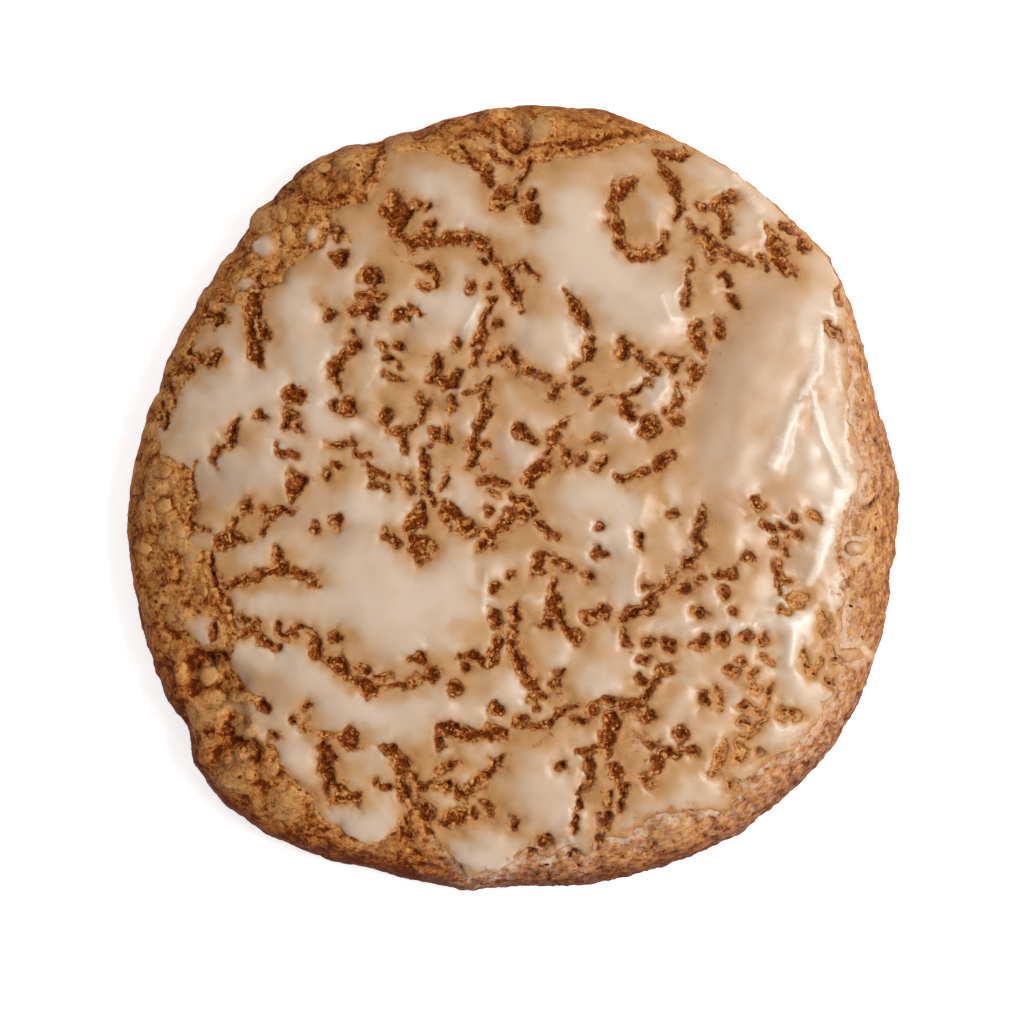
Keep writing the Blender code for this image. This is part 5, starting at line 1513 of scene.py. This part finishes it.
def flake_finish():
    """Rolled oat flakes: pale ochre, browner in patches."""
    finish = Finish("rolled oat")
    tone = finish.grain(2.6, 3.0, 0.6).between(0.35, 0.7)
    tone = tone + (finish.grain(0.4, 3.0, 0.6) - 0.5) * 0.8
    finish.set(Base_Color=finish.ramp(tone.clamped(), FLAKE_STOPS))
    finish.set(Roughness=0.7, Specular_IOR_Level=0.12)
    finish.set(Normal=finish.bump(finish.grain(0.35, 3.0, 0.6), 0.1 * MM, 0.7))
    return finish.material


# ---------------------------------------------------------------- strewn crumbs and flakes

STREWN_INPUTS = {
    "NodeSocketGeometry": ("Surface",),
    "NodeSocketFloat": ("Count per square metre", "Least gap", "Smallest", "Largest", "Flatness",
                        "Tilt", "Sink"),
    "NodeSocketInt": ("Segments", "Seed")}
LUMP_FACE_RINGS = 5
LUMP_SHIFTS = (0.0, 5.0, 11.0)
LEAST_FORM, LARGEST_FORM = (0.85, 0.6, 0.8), (1.15, 0.95, 1.2)


class Strewing(Nodes):
    """A Geometry Nodes tree that strews small lumps over a surface by its share field."""

    def __init__(self, name, material):
        super().__init__(bpy.data.node_groups.new(name, "GeometryNodeTree"))
        for kind, labels in STREWN_INPUTS.items():
            for label in labels:
                self.tree.interface.new_socket(label, in_out="INPUT", socket_type=kind)
        self.tree.interface.new_socket(
            "Pieces", in_out="OUTPUT", socket_type="NodeSocketGeometry")
        self.given = self.tree.nodes.new("NodeGroupInput")
        share = self.node("GeometryNodeInputNamedAttribute", {"data_type": "FLOAT"},
                          {"Name": "share"}, "Attribute")
        points = self.node("GeometryNodeDistributePointsOnFaces", {
            "distribute_method": "POISSON"}, {
            "Mesh": self.taken("Surface"), "Distance Min": self.taken("Least gap"),
            "Density Max": self.taken("Count per square metre"),
            "Density Factor": share, "Seed": self.taken("Seed")}, "Points")
        upright = Field(self.tree, points.socket.node.outputs["Rotation"])
        placed = self.node("GeometryNodeInstanceOnPoints", {}, {
            "Points": points, "Instance": self.lumps(), "Pick Instance": True,
            "Rotation": self.turned(upright), "Scale": self.sizes()}, "Instances")
        solid = self.node("GeometryNodeRealizeInstances", {}, {"Geometry": placed}, "Geometry")
        coated = self.node("GeometryNodeSetMaterial", {}, {
            "Geometry": solid, "Material": material}, "Geometry")
        self.node("NodeGroupOutput", {}, {"Pieces": coated}, None)

    def taken(self, label):
        return Field(self.tree, self.given.outputs[label])

    def combined(self, x, y, z):
        return self.node("ShaderNodeCombineXYZ", {}, {"X": x, "Y": y, "Z": z}, "Vector")

    def lumps(self):
        """Three uneven lumps to choose from, one unit in radius."""
        lump = self.node("GeometryNodeMeshUVSphere", {}, {
            "Segments": self.taken("Segments"), "Rings": LUMP_FACE_RINGS, "Radius": 1.0}, "Mesh")
        lump = self.node("GeometryNodeSetShadeSmooth", {}, {"Geometry": lump}, "Geometry")
        variants = []
        for shift in LUMP_SHIFTS:
            place = self.node("GeometryNodeInputPosition", {}, {}, "Position")
            place = self.vector("ADD", place, (shift, shift, shift))
            push = self.node("ShaderNodeTexNoise", {}, {
                "Vector": place, "Scale": 0.9, "Detail": 1.0}, "Color")
            push = self.vector("SUBTRACT", push, (0.5, 0.5, 0.5))
            push = self.vector("SUBTRACT", push, self.combined(0.0, 0.0, self.taken("Sink")))
            uneven = self.node("GeometryNodeSetPosition", {}, {
                "Geometry": lump, "Offset": push}, "Geometry")
            variants.append(self.node("GeometryNodeGeometryToInstance", {},
                                      {"Geometry": uneven}, "Instances"))
        joined = self.tree.nodes.new("GeometryNodeJoinGeometry")
        for variant in variants:
            self.tree.links.new(variant.socket, joined.inputs["Geometry"])
        return Field(self.tree, joined.outputs["Geometry"])

    def turned(self, upright):
        """The surface's upright, with a random spin and a little tilt."""
        tilt = self.taken("Tilt")
        low = self.combined(tilt * -1.0, tilt * -1.0, 0.0)
        high = self.combined(tilt, tilt, 2 * math.pi)
        spin = self.node("FunctionNodeRandomValue", {"data_type": "FLOAT_VECTOR"},
                         {0: low, 1: high, "Seed": self.taken("Seed") + 3.0}, 0)
        spin = self.node("FunctionNodeEulerToRotation", {}, {"Euler": spin}, "Rotation")
        return self.node("FunctionNodeRotateRotation", {"rotation_space": "LOCAL"},
                         {"Rotation": upright, "Rotate By": spin}, "Rotation")

    def sizes(self):
        """A random size for every lump, uneven along its three sides."""
        size = self.node("FunctionNodeRandomValue", {"data_type": "FLOAT"}, {
            2: self.taken("Smallest"), 3: self.taken("Largest"),
            "Seed": self.taken("Seed") + 1.0}, 1)
        flat = self.taken("Flatness")
        least, largest = (self.combined(long, wide, flat * thick)
                          for long, wide, thick in (LEAST_FORM, LARGEST_FORM))
        form = self.node("FunctionNodeRandomValue", {"data_type": "FLOAT_VECTOR"}, {
            0: least, 1: largest, "Seed": self.taken("Seed") + 2.0}, 0)
        return self.scaled(form, size)


def strewn(name, surface, share, material, **values):
    """One plain mesh of lumps strewn over a piece where share is above 0."""
    ground = surface.data.copy()
    field = ground.attributes.new("share", "FLOAT", "POINT")
    field.data.foreach_set("value", share.astype(np.float32))
    holder = add_object(name + " ground", ground)
    modifier = holder.modifiers.new("strewing", "NODES")
    modifier.node_group = Strewing(name, material).tree
    for item in modifier.node_group.interface.items_tree:
        key = item.name.replace(" ", "_").lower()
        if item.in_out == "INPUT" and key in values:
            modifier[item.identifier] = values[key]
    graph = bpy.context.evaluated_depsgraph_get()
    data = bpy.data.meshes.new_from_object(holder.evaluated_get(graph))
    holder.modifiers.remove(modifier)
    bpy.data.objects.remove(holder)
    bpy.data.meshes.remove(ground)
    data.name = name
    return add_object(name, data)


def floor_finish():
    """A plain pale floor that stays nearly white."""
    finish = Finish("pale floor")
    finish.set(Base_Color=(0.82, 0.82, 0.82), Roughness=0.9, Specular_IOR_Level=0.1)
    finish.set(Emission_Color=(1.0, 1.0, 1.0), Emission_Strength=0.62)
    return finish.material


# ---------------------------------------------------------------- the cookie

crust_material = crust_finish()
icing_material = icing_finish()

crust_points, crust_faces, crust_values = bake_crust()
low, high = crust_points.min(axis=0), crust_points.max(axis=0)
middle = np.array([(low[0] + high[0]) / 2, (low[1] + high[1]) / 2, 0.0])
crust_points, crust_faces, crust_values = close_foot(crust_points, crust_faces, crust_values)
crust = make_piece("crust", crust_points - middle, crust_faces, crust_values, crust_material)
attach(crust, "root")
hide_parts("biscuit")

# Where crumbs and flakes lie: in the cracks, and on the bare rim.
in_gaps = smooth_step((-0.1 - crust_values["cover"]) / 0.3) * (crust_values["crack"] > 0.2)
on_rim = smooth_step((-0.6 - crust_values["cover"]) / 1.0) * smooth_step(
    (crust_points[:, 2] - 6.0) / 2.0) * (crust_values["crack"] < 0.05)
upper_left = smooth_step((8.0 - 0.8 * crust_points[:, 0] + 0.6 * crust_points[:, 1]) / 20.0)
crumbs = strewn("crumbs", crust, np.maximum(in_gaps, 0.12 * on_rim), crumb_finish(),
                count_per_square_metre=1.8e6, least_gap=0.3 * MM, smallest=0.14 * MM,
                largest=0.34 * MM, flatness=0.75, tilt=0.6, sink=0.3, segments=6, seed=4)
flakes = strewn("oat_flakes", crust, on_rim * upper_left, flake_finish(),
                count_per_square_metre=0.07e6, least_gap=2.4 * MM, smallest=0.7 * MM,
                largest=1.6 * MM, flatness=0.22, tilt=0.1, sink=0.44, segments=10, seed=9)
for piece in (crumbs, flakes):
    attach(piece, "root")

icing_sheet, icing_dabs = build_icing(middle, icing_material)
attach(icing_sheet, "root")
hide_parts("icing")
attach(icing_dabs, "root")
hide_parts("icing_dab_1", "icing_dab_2", "icing_dab_3", "icing_dab_4")


# ---------------------------------------------------------------- floor, light and camera

FLOOR_HALF = 1.5


def add_floor():
    """A square floor, a metre and a half each way."""
    corners = [(-FLOOR_HALF, -FLOOR_HALF, 0), (FLOOR_HALF, -FLOOR_HALF, 0),
               (FLOOR_HALF, FLOOR_HALF, 0), (-FLOOR_HALF, FLOOR_HALF, 0)]
    data = bpy.data.meshes.new("floor")
    data.from_pydata(corners, [], [(0, 1, 2, 3)])
    data.materials.append(floor_finish())
    floor = add_object("floor", data)


def add_softbox(name, azimuth, elevation, distance, size, power, colour=(1.0, 1.0, 1.0)):
    """A square soft light that looks at the cookie."""
    lamp = bpy.data.lights.new(name, "AREA")
    lamp.shape = "SQUARE"
    lamp.size = size
    lamp.energy = power
    lamp.color = colour
    light = add_object(name, lamp)
    azimuth, elevation = math.radians(azimuth), math.radians(elevation)
    away = Vector((math.cos(azimuth) * math.cos(elevation),
                   math.sin(azimuth) * math.cos(elevation), math.sin(elevation)))
    light.location = away * distance
    light.rotation_euler = away.to_track_quat("Z", "Y").to_euler()


def set_world(strength):
    """An even white light from all round."""
    world = bpy.data.worlds.new("studio")
    world.use_nodes = True
    back = world.node_tree.nodes["Background"]
    back.inputs["Color"].default_value = (1.0, 1.0, 1.0, 1.0)
    back.inputs["Strength"].default_value = strength
    bpy.context.scene.world = world


def add_camera():
    """A long lens almost straight above, as the photograph has it."""
    aim = Vector((*CAMERA_SHIFT, AIM_HEIGHT)) * MM
    data = bpy.data.cameras.new("camera")
    data.lens = CAMERA_LENS
    data.sensor_width = CAMERA_SENSOR
    data.clip_end = 10.0
    camera = add_object("camera", data)
    back = Vector((0.0, -math.cos(CAMERA_ELEVATION), math.sin(CAMERA_ELEVATION)))
    camera.location = aim + back * CAMERA_DISTANCE * MM
    camera.rotation_euler = (math.pi / 2 - CAMERA_ELEVATION, 0.0, 0.0)
    bpy.context.scene.camera = camera


# Lights: azimuth and elevation in degrees, distance and size in metres, power in watts.
add_floor()
add_softbox("key", -4, 50, 0.9, 0.525, 6.3, (1.0, 0.99, 0.98))
add_softbox("gloss", 0, 58, 0.6, 0.07, 0.8)
add_softbox("back", 110, 55, 0.8, 0.5, 0.6)
set_world(0.40)
add_camera()
scene = bpy.context.scene
scene.view_settings.view_transform = "Standard"
scene.view_settings.look = "None"
scene.view_settings.exposure = 0.0
scene.view_settings.gamma = 1.0
